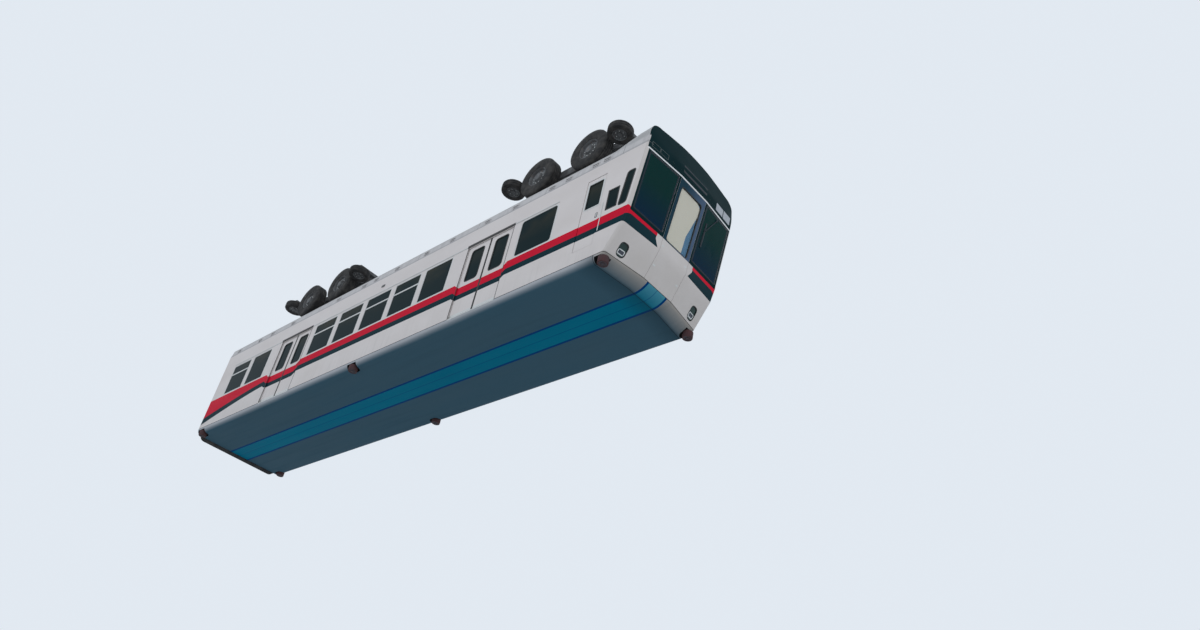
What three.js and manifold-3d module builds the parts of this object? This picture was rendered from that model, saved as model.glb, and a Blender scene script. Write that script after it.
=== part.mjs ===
// A suspended monorail car: a cab-end car that hangs below two rubber-tyred bogies.
// Millimetres, +X towards the cab, +Y to the car's left, +Z up.
// The origin lies on the running surface under the tyres, midway between the two bogies.
import * as THREE from "three";
import { mergeVertices } from "three/addons/utils/BufferGeometryUtils.js";
import Module from "manifold-3d";

const wasm = await Module();
wasm.setup();

// Driving dimensions of the body
const BELLY_Z = -3580; // underside of the body below the running surface
const HALF_WIDTH = 1290;
const WALL = 100; // whole thickness of a side wall
const REAR_X = -7360;
const FLOOR_H = 145; // height of the floor above the belly, where the side panels start
const CANT_H = 2440; // top of the flat side panel above the belly
const FIT = 0.3; // gap left between pieces that touch

// Heights above the belly are turned into the part's own Z here.
const up = (h) => BELLY_Z + h;

// Front end: height above the belly, x at the middle facet, x at the outer edge of the side facets
const NOSE = [
  { h: 150, mid: 7200, edge: 7070 },
  { h: 690, mid: 7450, edge: 7370 },
  { h: 960, mid: 7476, edge: 7440 },
  { h: 2320, mid: 7685, edge: 7610 },
  { h: 2560, mid: 7690, edge: 7625 },
  { h: 3120, mid: 7610, edge: 7570 },
];
const NOSE_MID_Y = 385; // half width of the middle facet, which is the emergency door
const NOSE_EDGE_Y = 1228; // where the side facet meets the rounded corner
const CORNER = 60; // how far the front mask wraps round onto the side

// Belly nose: the floor pan curves up to the front panel on this arc
const PAN_RISE = 145;
const PAN_RUN = 330;
const PAN_STEPS = 7;

// Roof
const ROOF_H = 2800;
const BAND_H = 2620; // top of the vent band
const BAND_IN = 28; // how far the top of the vent band leans in
const FAIRING_X = 6740; // rear end of the front roof fairing
const VENT = { w: 170, h: 76, deep: 14, at: 2500 };
const VENT_X = [
  -6940, -5840, -5190, -4190, -2130, -1080, -580, 220,
  1290, 2170, 3290, 4140, 5160, 5620, 6310, 6600,
];

// Windows and doors of one side: x from, x to, height from, height to, corner radius
const SIDE_WINDOWS = [
  { x0: -6700, x1: -5845, h0: 1068, h1: 1928, r: 24 },
  { x0: -5645, x1: -4805, h0: 1068, h1: 1928, r: 24 },
  { x0: -2690, x1: -1825, h0: 1068, h1: 1928, r: 24 },
  { x0: -1625, x1: -760, h0: 1068, h1: 1928, r: 24 },
  { x0: -560, x1: 305, h0: 1068, h1: 1928, r: 24 },
  { x0: 505, x1: 1370, h0: 1068, h1: 1928, r: 24 },
  { x0: 1570, x1: 2435, h0: 1068, h1: 1928, r: 24 },
  { x0: 4545, x1: 5500, h0: 1068, h1: 1940, r: 60 },
];
const CAB_WINDOWS = [
  { x0: 6850, x1: 7110, h0: 1140, h1: 1616, r: 12, lean: 0 },
  { x0: 7190, x1: 7385, h0: 1112, h1: 1886, r: 60, lean: 0.125 }, // leans with the front edge of the wall
];
const FRAME_EDGE = 30; // width of the frame round each side window
const FRAME_DEEP = 10;
const DRIP_H = 1992; // drip rail over the windows and doors
const DRIP_TALL = 26;
const DRIP_OUT = 8;
const DOOR_X = [3610, -3610];
const DOOR_HALF = 685;
const DOOR_TOP_H = 1966;
const LEAF = { out: 710, gap: 2.5, thick: 34, skin: 28, h0: 151, h1: 1984 };
const LEAF_WINDOW = { a: 165, b: 548, h0: 1045, h1: 1858, r: 70 };
const SHOE = { at: [110, 600], half: 25, in: 8 }; // guide shoes that run on the floor pan
const POCKET = { skin: 20, wide: 50, deep: 1372, over: 26 };
const CREW = { x0: 6230, x1: 6705, h0: 430, h1: 2130, thick: 40, gap: 10, sunk: 5 };
const CREW_WINDOW = { a: 60, b: 420, h0: 1400, h1: 2020, r: 25 };
const CREW_PIN = { r: 8, in: 10, long: 20, seat: 22 }; // vertical hinge pins in the door's inner rear edge
const WEB = 8; // thickness of the pane left in a door leaf

// Windscreen halves and the emergency door between them
const SCREEN = { y0: 425, y1: 1205, h0: 1005, h1: 2275, thick: 10 };
const ESCAPE = { half: 380, h1: 2290, thick: 60, window: { half: 300, h0: 965, h1: 2150 } };
const LAMP = { y: 1000, h: 310, w: 190, tall: 250, deep: 70 };

// Rear end: wall, doorway and gangway bellows
const REAR_WALL = { thick: 80, door: 430, h1: 2060 };
const BELLOWS = { y: 1120, h0: -45, h1: 2640, r: 130, folds: 4, pitch: 40, waist: 32, hoop: 30 };
const BELLOWS_HOLE = { y: 1060, h0: 4, h1: 2580, r: 90 };
const FOOTPLATE = { y: 560, out: 175, in: 60, tall: 12 }; // bridges the threshold and the coupler
const COUPLER = { x: 260, pin: 30, eye: 75, shank: 45, head: 115 };
const DRAFT_BOX = { deep: 420, half: 150, h0: 18, h1: 128 };

// Inside: bulkhead behind the cab, ceiling vault, seats along both sides, driver's place
const BULKHEAD = { x0: 5900, x1: 5945, door: 330, h1: 2020 };
const VAULT = { half: 960, h1: 2610, r: 120 };
const SEATS = [
  { x0: -6850, x1: -5090 },
  { x0: -2130, x1: 2130 },
  { x0: 5080, x1: 5600 },
];
const SEAT_PARTS = [
  { deep: 400, h0: 225, h1: 400 },
  { deep: 480, h0: 390, h1: 575 },
  { deep: 110, h0: 560, h1: 1010 },
  { deep: 60, h0: 150, h1: 260 },
];
const THRESHOLD = { x0: -6900, x1: 5700, deep: 60, tall: 8 };
const CAB_PARTS = [
  { x0: 6050, x1: 6940, y0: -900, y1: 900, h0: 145, h1: 157 }, // floor plate
  { x0: 6700, x1: 6960, y0: 340, y1: 880, h0: 145, h1: 960 }, // desk pedestal
  { x0: 6660, x1: 7260, y0: 320, y1: 1060, h0: 900, h1: 985 }, // desk top
  { x0: 6700, x1: 6960, y0: -900, y1: -400, h0: 145, h1: 900 }, // equipment cupboard
  { x0: 6330, x1: 6430, y0: 525, y1: 625, h0: 145, h1: 560 }, // seat post
  { x0: 6150, x1: 6610, y0: 355, y1: 795, h0: 540, h1: 640 }, // seat cushion
  { x0: 6120, x1: 6210, y0: 365, y1: 785, h0: 600, h1: 1240 }, // seat back
];

// Roof unit: ducting and two air conditioner packs on a flat plinth
const PLINTH = { x: 3450, y: 860, tall: 8 };
const UNIT_BOXES = [
  { x0: -3400, x1: 3400, half: 300, tall: 150 },
  { x0: -3300, x1: -900, half: 820, tall: 330 },
  { x0: 900, x1: 3300, half: 820, tall: 330 },
];

// Running gear, heights above the running surface
const BOGIE_X = 4500;
const AXLE_X = 750;
const TYRE = { r: 500, half: 145, y: 600, shoulder: 32, rim: 250, dish: 85 };
const AXLE_R = 60;
const GUIDE = { r: 270, half: 90, x: 1560, y: 660, z: 560, pin: 35, shoulder: 25, pinTop: 200 };
const BEAM = { y: 310, half: 50, z0: 560, z1: 760, end: 1500 };
const LEG = { x: 110, z0: 400 }; // drop from the side beam that holds the axle
const END_BEAM = { x: 60, in: 40 };
const ARM = { x: 60, over: 70, z0: 700, z1: 790, seat: 770 };
const GEARCASE = { x: 170, y: 200, z0: 330, z1: 670 };
const MOTOR = { y: 160, z0: 380, z1: 620 };
const TIE = { x: 60, z0: 620, z1: 700 };
const BOLSTER = { x: 400, z0: 700 };
const PIVOT = { hole: 230, head: 330, z: 800, tall: 70 };
const COLUMN = { x: 130, y: 100 };
const YOKE = { z0: -430, z1: -330, y: 600, x: 150 };
const SPRING = { r: 180, waist: 150, y: 430, top: -130 };
const GALLOWS = { y0: 660, y1: 720, x: 215, top: -90, under: 40, near: 250 };
const GALLOWS_FOOT = { x: 300, y: 760, tall: 40 };

// Steadying rollers in the lower corners of the body
const ROLLER = { r: 100, half: 72, y: 1200, h: 10, pin: 25, pinTop: 114, shoulder: 10, room: 20 };
const ROLLER_X = [6990, -300, -7170];
const POCKET_LONG = 45; // how much longer than wide a roller's pocket is, either way

const car = new THREE.Group();
const SIDES = [
  { side: "right", s: -1 },
  { side: "left", s: 1 },
];

// Solids
function solidOf(geometry) {
  const g = geometry.clone();
  g.deleteAttribute("normal");
  g.deleteAttribute("uv");
  const merged = mergeVertices(g, 1e-3);
  return new wasm.Manifold(
    new wasm.Mesh({
      numProp: 3,
      vertProperties: merged.attributes.position.array,
      triVerts: new Uint32Array(merged.index.array),
    }),
  );
}

function box(x0, x1, y0, y1, z0, z1) {
  const g = new THREE.BoxGeometry(x1 - x0, y1 - y0, z1 - z0);
  g.translate((x0 + x1) / 2, (y0 + y1) / 2, (z0 + z1) / 2);
  return solidOf(g);
}

// A box given by its near and far |y| on one side of the car
function sideBox(s, x0, x1, yNear, yFar, z0, z1) {
  return s > 0 ? box(x0, x1, yNear, yFar, z0, z1) : box(x0, x1, -yFar, -yNear, z0, z1);
}

function shapeOf(points) {
  return new THREE.Shape(points.map(([a, b]) => new THREE.Vector2(a, b)));
}

// A rounded rectangle in a plane, with four arcs
function roundRect(a0, a1, b0, b1, r) {
  const shape = new THREE.Shape();
  shape.moveTo(a0 + r, b0);
  shape.lineTo(a1 - r, b0);
  shape.absarc(a1 - r, b0 + r, r, -Math.PI / 2, 0, false);
  shape.lineTo(a1, b1 - r);
  shape.absarc(a1 - r, b1 - r, r, 0, Math.PI / 2, false);
  shape.lineTo(a0 + r, b1);
  shape.absarc(a0 + r, b1 - r, r, Math.PI / 2, Math.PI, false);
  shape.lineTo(a0, b0 + r);
  shape.absarc(a0 + r, b0 + r, r, Math.PI, 1.5 * Math.PI, false);
  return shape;
}

// The same shape leaning forwards about its middle height, by a share of the height
function leaning(shape, middle, lean, arcSteps) {
  const points = shape.extractPoints(arcSteps).shape;
  return shapeOf(points.map((p) => [p.x + lean * (p.y - middle), p.y]));
}

// Prisms whose outline lies in the XZ or YZ plane
function prismXZ(shape, y0, y1, arcSteps = 2) {
  const options = { depth: y1 - y0, bevelEnabled: false, curveSegments: arcSteps };
  const g = new THREE.ExtrudeGeometry(shape, options);
  g.rotateX(Math.PI / 2);
  g.translate(0, y1, 0);
  return solidOf(g);
}

function prismYZ(shape, x0, x1, arcSteps = 1) {
  const options = { depth: x1 - x0, bevelEnabled: false, curveSegments: arcSteps };
  const g = new THREE.ExtrudeGeometry(shape, options);
  g.applyMatrix4(new THREE.Matrix4().set(0, 0, 1, x0, 1, 0, 0, 0, 0, 1, 0, 0, 0, 0, 0, 1));
  return solidOf(g);
}

// A vertical or crosswise cylinder of n sides, its first edge turned by an angle
function post(x, y, z0, z1, r, n = 16, turn = 0) {
  const g = new THREE.CylinderGeometry(r, r, z1 - z0, n);
  g.rotateY(turn);
  g.rotateX(Math.PI / 2);
  g.translate(x, y, (z0 + z1) / 2);
  return solidOf(g);
}

function crossBar(x, z, y0, y1, r, n = 16, turn = 0) {
  const g = new THREE.CylinderGeometry(r, r, y1 - y0, n);
  g.rotateY(turn);
  g.translate(x, (y0 + y1) / 2, z);
  return solidOf(g);
}

// Radius of an n-sided hole in which a pin of radius r turns with the fitting gap.
// The hole is turned by half a step, so that the edges of a pin with as many sides face its flats.
function seatRadius(r, n) {
  return (r + FIT) / Math.cos(Math.PI / n);
}

// A turned piece: the outline is a list of [radius, height], and its axis is Z through (x, y)
function turned(outline, x, y, z, n) {
  const g = new THREE.LatheGeometry(outline.map(([r, h]) => new THREE.Vector2(r, h)), n);
  g.rotateX(Math.PI / 2);
  g.translate(x, y, z);
  return solidOf(g);
}

// A solid through rings of the same number of points, each a list of [a, b] at its own station:
// level rings of [x, y] at a z, or rings of [y, z] that stand across the car at an x
function loft(rings, acrossCar = false) {
  const n = rings[0].points.length;
  const place = ([a, b], at) => (acrossCar ? [at, a, b] : [a, b, at]);
  const position = rings.flatMap(({ at, points }) => points.flatMap((p) => place(p, at)));
  const flat = rings[0].points.map(([a, b]) => new THREE.Vector2(a, b));
  const cap = THREE.ShapeUtils.triangulateShape(flat, []);
  const index = [];
  cap.forEach(([a, b, c]) => index.push(c, b, a));
  for (let k = 0; k + 1 < rings.length; k++) {
    for (let i = 0; i < n; i++) {
      const a = k * n + i;
      const b = k * n + ((i + 1) % n);
      index.push(a, b, b + n, a, b + n, a + n);
    }
  }
  const last = (rings.length - 1) * n;
  cap.forEach(([a, b, c]) => index.push(a + last, b + last, c + last));
  const g = new THREE.BufferGeometry();
  g.setAttribute("position", new THREE.BufferAttribute(new Float32Array(position), 3));
  g.setIndex(index);
  return solidOf(g);
}

const join = (list) => list.reduce((a, b) => a.add(b));
const cut = (body, list) => list.reduce((a, b) => a.subtract(b), body);

// Names a solid, gives it its material and hangs it in a group
function piece(name, solid, colour, roughness = 0.5, metalness = 0, group = car) {
  const m = solid.getMesh();
  const g = new THREE.BufferGeometry();
  const xyz = new Float32Array(m.numVert * 3);
  for (let i = 0; i < m.numVert; i++) {
    xyz.set(m.vertProperties.subarray(i * m.numProp, i * m.numProp + 3), i * 3);
  }
  g.setAttribute("position", new THREE.BufferAttribute(xyz, 3));
  g.setIndex(new THREE.BufferAttribute(m.triVerts, 1));
  g.computeVertexNormals();
  const mesh = new THREE.Mesh(g, new THREE.MeshStandardMaterial({ color: colour, roughness, metalness }));
  mesh.name = name;
  group.add(mesh);
}

// Colours
const BODY_WHITE = 0xcbc6c4;
const BELLY_BLUE = 0x32465a;
const ROOF_GREY = 0xa9a7ab;
const FACE_BLACK = 0x141a1c;
const GLASS = 0x14282c;
const FRAME_METAL = 0xb4b8b6;
const LINING = 0xd8d3c4;
const RUBBER = 0x17181a;
const STEEL = 0x4c5053;
const SEAT_CLOTH = 0x3b4f6d;
const HUB_BROWN = 0x5e3a34;

// Front end outline in plan at one height: side, rounded corner, side facet, middle facet and so on round
function plan(back, mid, edge, wide = HALF_WIDTH) {
  const r = wide - NOSE_EDGE_Y;
  const half = [
    [edge - CORNER, -wide],
    [edge - 0.42 * CORNER, -wide + 0.1 * r],
    [edge - 0.12 * CORNER, -wide + 0.45 * r],
    [edge, -NOSE_EDGE_Y],
    [mid, -NOSE_MID_Y],
  ];
  const other = half.map(([x, y]) => [x, -y]).reverse();
  return [[back, -wide], ...half, ...other, [back, wide]];
}

// Nose station at any height, on the straight lines between the table's rows
function noseAt(h) {
  let i = 0;
  while (i + 2 < NOSE.length && h > NOSE[i + 1].h) {
    i += 1;
  }
  const a = NOSE[i];
  const b = NOSE[i + 1];
  const t = (h - a.h) / (b.h - a.h);
  return { mid: a.mid + t * (b.mid - a.mid), edge: a.edge + t * (b.edge - a.edge) };
}

// The whole nose as a solid block between two heights, pushed back by a wall thickness
function noseBlock(h0, h1, back, inset = 0) {
  const heights = [h0, ...NOSE.map((s) => s.h).filter((h) => h > h0 + 1 && h < h1 - 1), h1];
  return loft(
    heights.map((h) => {
      const at = noseAt(h);
      return { at: up(h), points: plan(back, at.mid - inset, at.edge - inset) };
    }),
  );
}

// Line of the joint between the front mask and the side walls, as [x, z] from the bottom up
function maskJoint(offset, h0, h1) {
  const heights = [h0, ...NOSE.map((s) => s.h).filter((h) => h > h0 + 1 && h < h1 - 1), h1];
  return heights.map((h) => [noseAt(h).edge - CORNER + offset, up(h)]);
}

// Floor pan: flat belly, rounded lower corners, and the nose that curves up to the front panel
function makeFloorPan() {
  const radius = (PAN_RUN ** 2 + PAN_RISE ** 2) / (2 * PAN_RISE);
  const sweep = Math.asin(PAN_RUN / radius);
  const rings = [];
  for (let k = 0; k <= PAN_STEPS; k++) {
    const angle = (k / PAN_STEPS) * sweep;
    const back = PAN_RUN - radius * Math.sin(angle);
    const height = radius * (1 - Math.cos(angle));
    rings.push({ at: up(height), points: plan(REAR_X, NOSE[0].mid - back, NOSE[0].edge - back) });
  }
  const pan = loft(rings);
  const section = new THREE.Shape();
  section.moveTo(-HALF_WIDTH, up(FLOOR_H) + 1);
  section.lineTo(-HALF_WIDTH, up(FLOOR_H) - 5);
  section.absarc(-HALF_WIDTH + 140, up(140), 140, Math.PI, 1.5 * Math.PI, false);
  section.lineTo(HALF_WIDTH - 140, BELLY_Z);
  section.absarc(HALF_WIDTH - 140, up(140), 140, 1.5 * Math.PI, 2 * Math.PI, false);
  section.lineTo(HALF_WIDTH, up(FLOOR_H) + 1);
  let floor = pan.intersect(prismYZ(section, REAR_X - 10, 7400, 5));
  // Pockets with round ends that the rollers turn in, and the seats of their pins
  const top = up(ROLLER.h + ROLLER.half + 16);
  const pinTop = ROLLER.h + ROLLER.pinTop + 4;
  const wide = ROLLER.r + ROLLER.room;
  const under = BELLY_Z - 20;
  for (const x of ROLLER_X) {
    for (const { s } of SIDES) {
      const y = s * ROLLER.y;
      const ends = [x - POCKET_LONG, x + POCKET_LONG];
      const pocket = ends.map((at) => post(at, y, under, top, wide, 16));
      pocket.push(sideBox(s, ends[0], ends[1], ROLLER.y - wide, HALF_WIDTH + 50, under, top));
      pocket.push(post(x, y, up(60), up(pinTop), seatRadius(ROLLER.pin, 12), 12));
      floor = cut(floor, pocket);
    }
  }
  // Draft box for the coupler at the rear end, with the seats of its pin
  const d = DRAFT_BOX;
  const mouth = box(REAR_X - 20, REAR_X + d.deep, -d.half, d.half, up(d.h0), up(d.h1));
  const seat = seatRadius(COUPLER.pin, 12);
  const pinSeat = post(REAR_X + COUPLER.x, 0, up(d.h0 - 10), up(d.h1 + 10), seat, 12, Math.PI / 12);
  return cut(floor, [mouth, pinSeat]);
}

// Side wall with its door openings, leaf pockets, crew door and windows
function makeSideWall(s) {
  const outline = [
    [REAR_X, up(FLOOR_H + FIT)],
    ...maskJoint(-FIT, 150, CANT_H),
    [REAR_X, up(CANT_H)],
  ];
  outline.splice(1, 0, [noseAt(150).edge - CORNER - FIT, up(FLOOR_H + FIT)]);
  const yOut = HALF_WIDTH;
  const yIn = HALF_WIDTH - WALL;
  const slab = prismXZ(shapeOf(outline), s > 0 ? yIn : -yOut, s > 0 ? yOut : -yIn);
  const holes = [];
  for (const x of DOOR_X) {
    holes.push(sideBox(s, x - DOOR_HALF, x + DOOR_HALF, yIn - 5, yOut + 5, up(FLOOR_H) - 5, up(DOOR_TOP_H)));
    const pocketOut = yOut - POCKET.skin;
    const top = up(DOOR_TOP_H + POCKET.over);
    const z0 = up(FLOOR_H) - 5;
    holes.push(sideBox(s, x - POCKET.deep, x + POCKET.deep, pocketOut - POCKET.wide, pocketOut, z0, top));
  }
  const y0 = s > 0 ? yIn - 5 : -yOut - 5;
  const y1 = s > 0 ? yOut + 5 : -yIn + 5;
  for (const w of SIDE_WINDOWS) {
    holes.push(prismXZ(roundRect(w.x0, w.x1, up(w.h0), up(w.h1), w.r), y0, y1, w.r > 40 ? 2 : 1));
  }
  for (const w of CAB_WINDOWS) {
    const upright = roundRect(w.x0, w.x1, up(w.h0), up(w.h1), w.r);
    holes.push(prismXZ(leaning(upright, up((w.h0 + w.h1) / 2), w.lean, 3), y0, y1));
  }
  holes.push(sideBox(s, CREW.x0, CREW.x1, yIn - 5, yOut + 5, up(CREW.h0), up(CREW.h1)));
  const hinge = crewHinge(s);
  const seat = seatRadius(CREW_PIN.r, 12);
  for (const [h0, h1] of [
    [CREW.h0 - CREW_PIN.seat, CREW.h0 + 1],
    [CREW.h1 - 1, CREW.h1 + CREW_PIN.seat],
  ]) {
    holes.push(post(hinge.x, hinge.y, up(h0), up(h1), seat, 12, Math.PI / 12));
  }
  // Shallow seat for the window frames and the drip rail
  const seatIn = yOut - FRAME_DEEP - FIT;
  for (const w of SIDE_WINDOWS) {
    const e = FRAME_EDGE + FIT;
    holes.push(sideBox(s, w.x0 - e, w.x1 + e, seatIn, yOut + 5, up(w.h0) - e, up(DRIP_H)));
  }
  return cut(slab, holes);
}

// Window frames and panes of one side, hung from the drip rail that runs over the doors
function makeWindowFrames(s) {
  const yOut = HALF_WIDTH;
  const first = SIDE_WINDOWS[0];
  const last = SIDE_WINDOWS[SIDE_WINDOWS.length - 1];
  const rail = [first.x0 - FRAME_EDGE, last.x1 + FRAME_EDGE];
  const parts = [
    sideBox(s, rail[0], rail[1], yOut + FIT, yOut + DRIP_OUT, up(DRIP_H - 4), up(DRIP_H + DRIP_TALL)),
  ];
  for (const w of SIDE_WINDOWS) {
    const e = FRAME_EDGE;
    const frame = sideBox(s, w.x0 - e, w.x1 + e, yOut - FRAME_DEEP, yOut, up(w.h0) - e, up(DRIP_H) - FIT);
    const hood = sideBox(s, w.x0 - e, w.x1 + e, yOut - 2, yOut + DRIP_OUT, up(DRIP_H - 20), up(DRIP_H) - FIT);
    const y0 = s > 0 ? yOut - 4 : -yOut - 5;
    const front = prismXZ(roundRect(w.x0, w.x1, up(w.h0), up(w.h1), w.r), y0, y0 + 9, w.r > 40 ? 2 : 1);
    parts.push(cut(frame, [front]).add(hood));
  }
  return join(parts);
}

// The two recesses of a door window, which leave a thin pane in the middle of the leaf
function paneRecesses(s, shape, yIn, yOut) {
  const mid = (yIn + yOut) / 2;
  const near = [mid - 60, mid - WEB / 2];
  const far = [mid + WEB / 2, mid + 60];
  return [near, far].map(([a, b]) => (s > 0 ? prismXZ(shape, a, b) : prismXZ(shape, -b, -a)));
}

// One leaf of a passenger door; d says on which side of the door's middle it closes
function makeLeaf(s, x, d) {
  const span = (a, b) => [Math.min(x + d * a, x + d * b), Math.max(x + d * a, x + d * b)];
  const yOut = HALF_WIDTH - LEAF.skin;
  const yIn = yOut - LEAF.thick;
  const [x0, x1] = span(LEAF.gap, LEAF.out);
  const slab = sideBox(s, x0, x1, yIn, yOut, up(LEAF.h0), up(LEAF.h1));
  const shoes = SHOE.at.map((a) => {
    const [s0, s1] = span(a - SHOE.half, a + SHOE.half);
    return sideBox(s, s0, s1, yIn + SHOE.in, yOut - SHOE.in, up(FLOOR_H + FIT), up(LEAF.h0 + 2));
  });
  const w = LEAF_WINDOW;
  const [w0, w1] = span(w.a, w.b);
  const hole = roundRect(w0, w1, up(w.h0), up(w.h1), w.r);
  return cut(join([slab, ...shoes]), paneRecesses(s, hole, yIn, yOut));
}

// Where the crew door's vertical hinge line stands in plan
function crewHinge(s) {
  const yIn = HALF_WIDTH - CREW.sunk - CREW.thick;
  return { x: CREW.x0 + CREW.gap + CREW_PIN.in, y: s * (yIn + CREW_PIN.in) };
}

// Crew door of the cab: it swings inwards on two pins that stand in the wall above and below it
function makeCrewDoor(s) {
  const g = CREW.gap;
  const yOut = HALF_WIDTH - CREW.sunk;
  const yIn = yOut - CREW.thick;
  const z0 = up(CREW.h0 + g);
  const z1 = up(CREW.h1 - g);
  const slab = sideBox(s, CREW.x0 + g, CREW.x1 - g, yIn, yOut, z0, z1);
  const { x, y } = crewHinge(s);
  const pins = [
    post(x, y, up(CREW.h0 - CREW_PIN.long), z0 + 5, CREW_PIN.r, 12),
    post(x, y, z1 - 5, up(CREW.h1 + CREW_PIN.long), CREW_PIN.r, 12),
  ];
  const w = CREW_WINDOW;
  const hole = roundRect(CREW.x0 + w.a, CREW.x0 + w.b, up(w.h0), up(w.h1), w.r);
  return cut(join([slab, ...pins]), paneRecesses(s, hole, yIn, yOut));
}

// Front mask: three facets, open for the emergency door, with the two windscreen halves and lamp recesses
function makeMask() {
  const h0 = 150 + FIT;
  const shell = noseBlock(h0, CANT_H, 6600);
  const inner = loft(
    [h0 - 20, ...NOSE.map((n) => n.h).filter((h) => h > h0 && h < CANT_H), CANT_H + 20].map((h) => {
      const at = noseAt(Math.min(h, CANT_H));
      const wide = HALF_WIDTH - WALL;
      const points = [
        [6500, -wide],
        [at.edge - WALL, -wide],
        [at.mid - WALL, -NOSE_MID_Y],
        [at.mid - WALL, NOSE_MID_Y],
        [at.edge - WALL, wide],
        [6500, wide],
      ];
      return { at: up(h), points };
    }),
  );
  const joint = maskJoint(0, h0, CANT_H);
  const behind = [[6400, up(h0) - 30], [joint[0][0], up(h0) - 30], ...joint];
  behind.push([joint[joint.length - 1][0], up(CANT_H) + 30], [6400, up(CANT_H) + 30]);
  const holes = [inner, prismXZ(shapeOf(behind), -1500, 1500)];
  holes.push(box(6500, 7900, -ESCAPE.half - 5, ESCAPE.half + 5, up(100), up(ESCAPE.h1 + 5)));
  for (const { s } of SIDES) {
    holes.push(sideBox(s, 6500, 7900, SCREEN.y0, SCREEN.y1, up(SCREEN.h0), up(SCREEN.h1)));
    holes.push(lampHole(s, 0));
  }
  return cut(shell, holes);
}

// Lamp recess: a rounded box let into the lower front panel
function lampHole(s, shrink) {
  const shape = roundRect(
    s * LAMP.y - LAMP.w / 2 + shrink,
    s * LAMP.y + LAMP.w / 2 - shrink,
    up(LAMP.h) - LAMP.tall / 2 + shrink,
    up(LAMP.h) + LAMP.tall / 2 - shrink,
    70,
  );
  const face = noseAt(LAMP.h).edge;
  return prismYZ(shape, face - LAMP.deep, face + 300);
}

function makeLamp(s) {
  const face = noseAt(LAMP.h).edge;
  const shape = roundRect(
    s * LAMP.y - LAMP.w / 2 + FIT,
    s * LAMP.y + LAMP.w / 2 - FIT,
    up(LAMP.h) - LAMP.tall / 2 + FIT,
    up(LAMP.h) + LAMP.tall / 2 - FIT,
    70,
  );
  const block = prismYZ(shape, face - LAMP.deep + FIT, face + 300);
  return block.intersect(noseBlock(150, 690, 6600, 25));
}

// Windscreen half: a flat pane let into the outer face of its facet
function makeScreen(s) {
  const outer = noseBlock(SCREEN.h0 - 60, SCREEN.h1 + 60, 6900);
  const inner = noseBlock(SCREEN.h0 - 70, SCREEN.h1 + 70, 6800, SCREEN.thick);
  const pane = sideBox(
    s,
    7000,
    7900,
    SCREEN.y0 + FIT,
    SCREEN.y1 - FIT,
    up(SCREEN.h0) + FIT,
    up(SCREEN.h1) - FIT,
  );
  return outer.subtract(inner).intersect(pane);
}

// Emergency door: the whole middle facet, with a thin pane in its upper half
function makeEscapeDoor() {
  const h0 = 150 + FIT;
  const outer = noseBlock(h0, ESCAPE.h1, 6900);
  const inner = noseBlock(h0 - 20, ESCAPE.h1 + 20, 6800, ESCAPE.thick);
  const slab = outer.subtract(inner).intersect(
    box(6850, 7900, -ESCAPE.half - 5 + FIT, ESCAPE.half + 5 - FIT, up(h0), up(ESCAPE.h1) + 5),
  );
  const w = ESCAPE.window;
  const hole = box(6850, 7900, -w.half, w.half, up(w.h0), up(w.h1));
  const behindPane = noseBlock(w.h0 - 60, w.h1 + 60, 6600, 18);
  const beforePane = noseBlock(w.h0 - 60, w.h1 + 60, 6600, 10);
  return slab.subtract(hole.subtract(beforePane.subtract(behindPane)));
}

// Roof profile in the YZ plane: leaning vent band, rounded shoulder, slightly crowned top
function roofSection(band, bandIn, top, crown, shoulder) {
  const y = HALF_WIDTH;
  const shape = new THREE.Shape();
  shape.moveTo(-y, up(CANT_H) + FIT);
  shape.lineTo(y, up(CANT_H) + FIT);
  shape.lineTo(y - bandIn, up(band));
  shape.quadraticCurveTo(y - bandIn - 8, up(top), y - bandIn - shoulder, up(top));
  shape.lineTo(0, up(top + crown));
  shape.lineTo(-(y - bandIn - shoulder), up(top));
  shape.quadraticCurveTo(-(y - bandIn - 8), up(top), -(y - bandIn), up(band));
  return shape;
}

// Roof with its vent recesses, ceiling vault and the four gallows that carry the body on its springs
function makeRoof() {
  const shell = prismYZ(roofSection(BAND_H, BAND_IN, ROOF_H - 30, 30, 200), REAR_X, FAIRING_X - FIT, 5);
  const vault = roundRect(-VAULT.half, VAULT.half, up(CANT_H) - 200, up(VAULT.h1), VAULT.r);
  const holes = [prismYZ(vault, REAR_X + REAR_WALL.thick, BULKHEAD.x0)];
  for (const x of VENT_X) {
    for (const { s } of SIDES) {
      const z = up(VENT.at);
      const deep = HALF_WIDTH - BAND_IN / 2 - VENT.deep;
      holes.push(sideBox(s, x - VENT.w / 2, x + VENT.w / 2, deep, HALF_WIDTH + 20, z, z + VENT.h));
    }
  }
  const added = [box(-PLINTH.x, PLINTH.x, -PLINTH.y, PLINTH.y, up(ROOF_H) - 60, up(ROOF_H + PLINTH.tall))];
  const { y0, y1, x: half, top, under, near } = GALLOWS;
  const foot = GALLOWS_FOOT;
  for (const x of [-BOGIE_X, BOGIE_X]) {
    added.push(box(x - foot.x, x + foot.x, -foot.y, foot.y, up(ROOF_H) - 60, up(ROOF_H) + foot.tall));
    for (const { s } of SIDES) {
      added.push(sideBox(s, x - half, x + half, y0, y1, up(ROOF_H), top));
      added.push(sideBox(s, x - half, x + half, near, y1, top - under, top));
    }
  }
  return cut(shell, holes).add(join(added));
}

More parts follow.
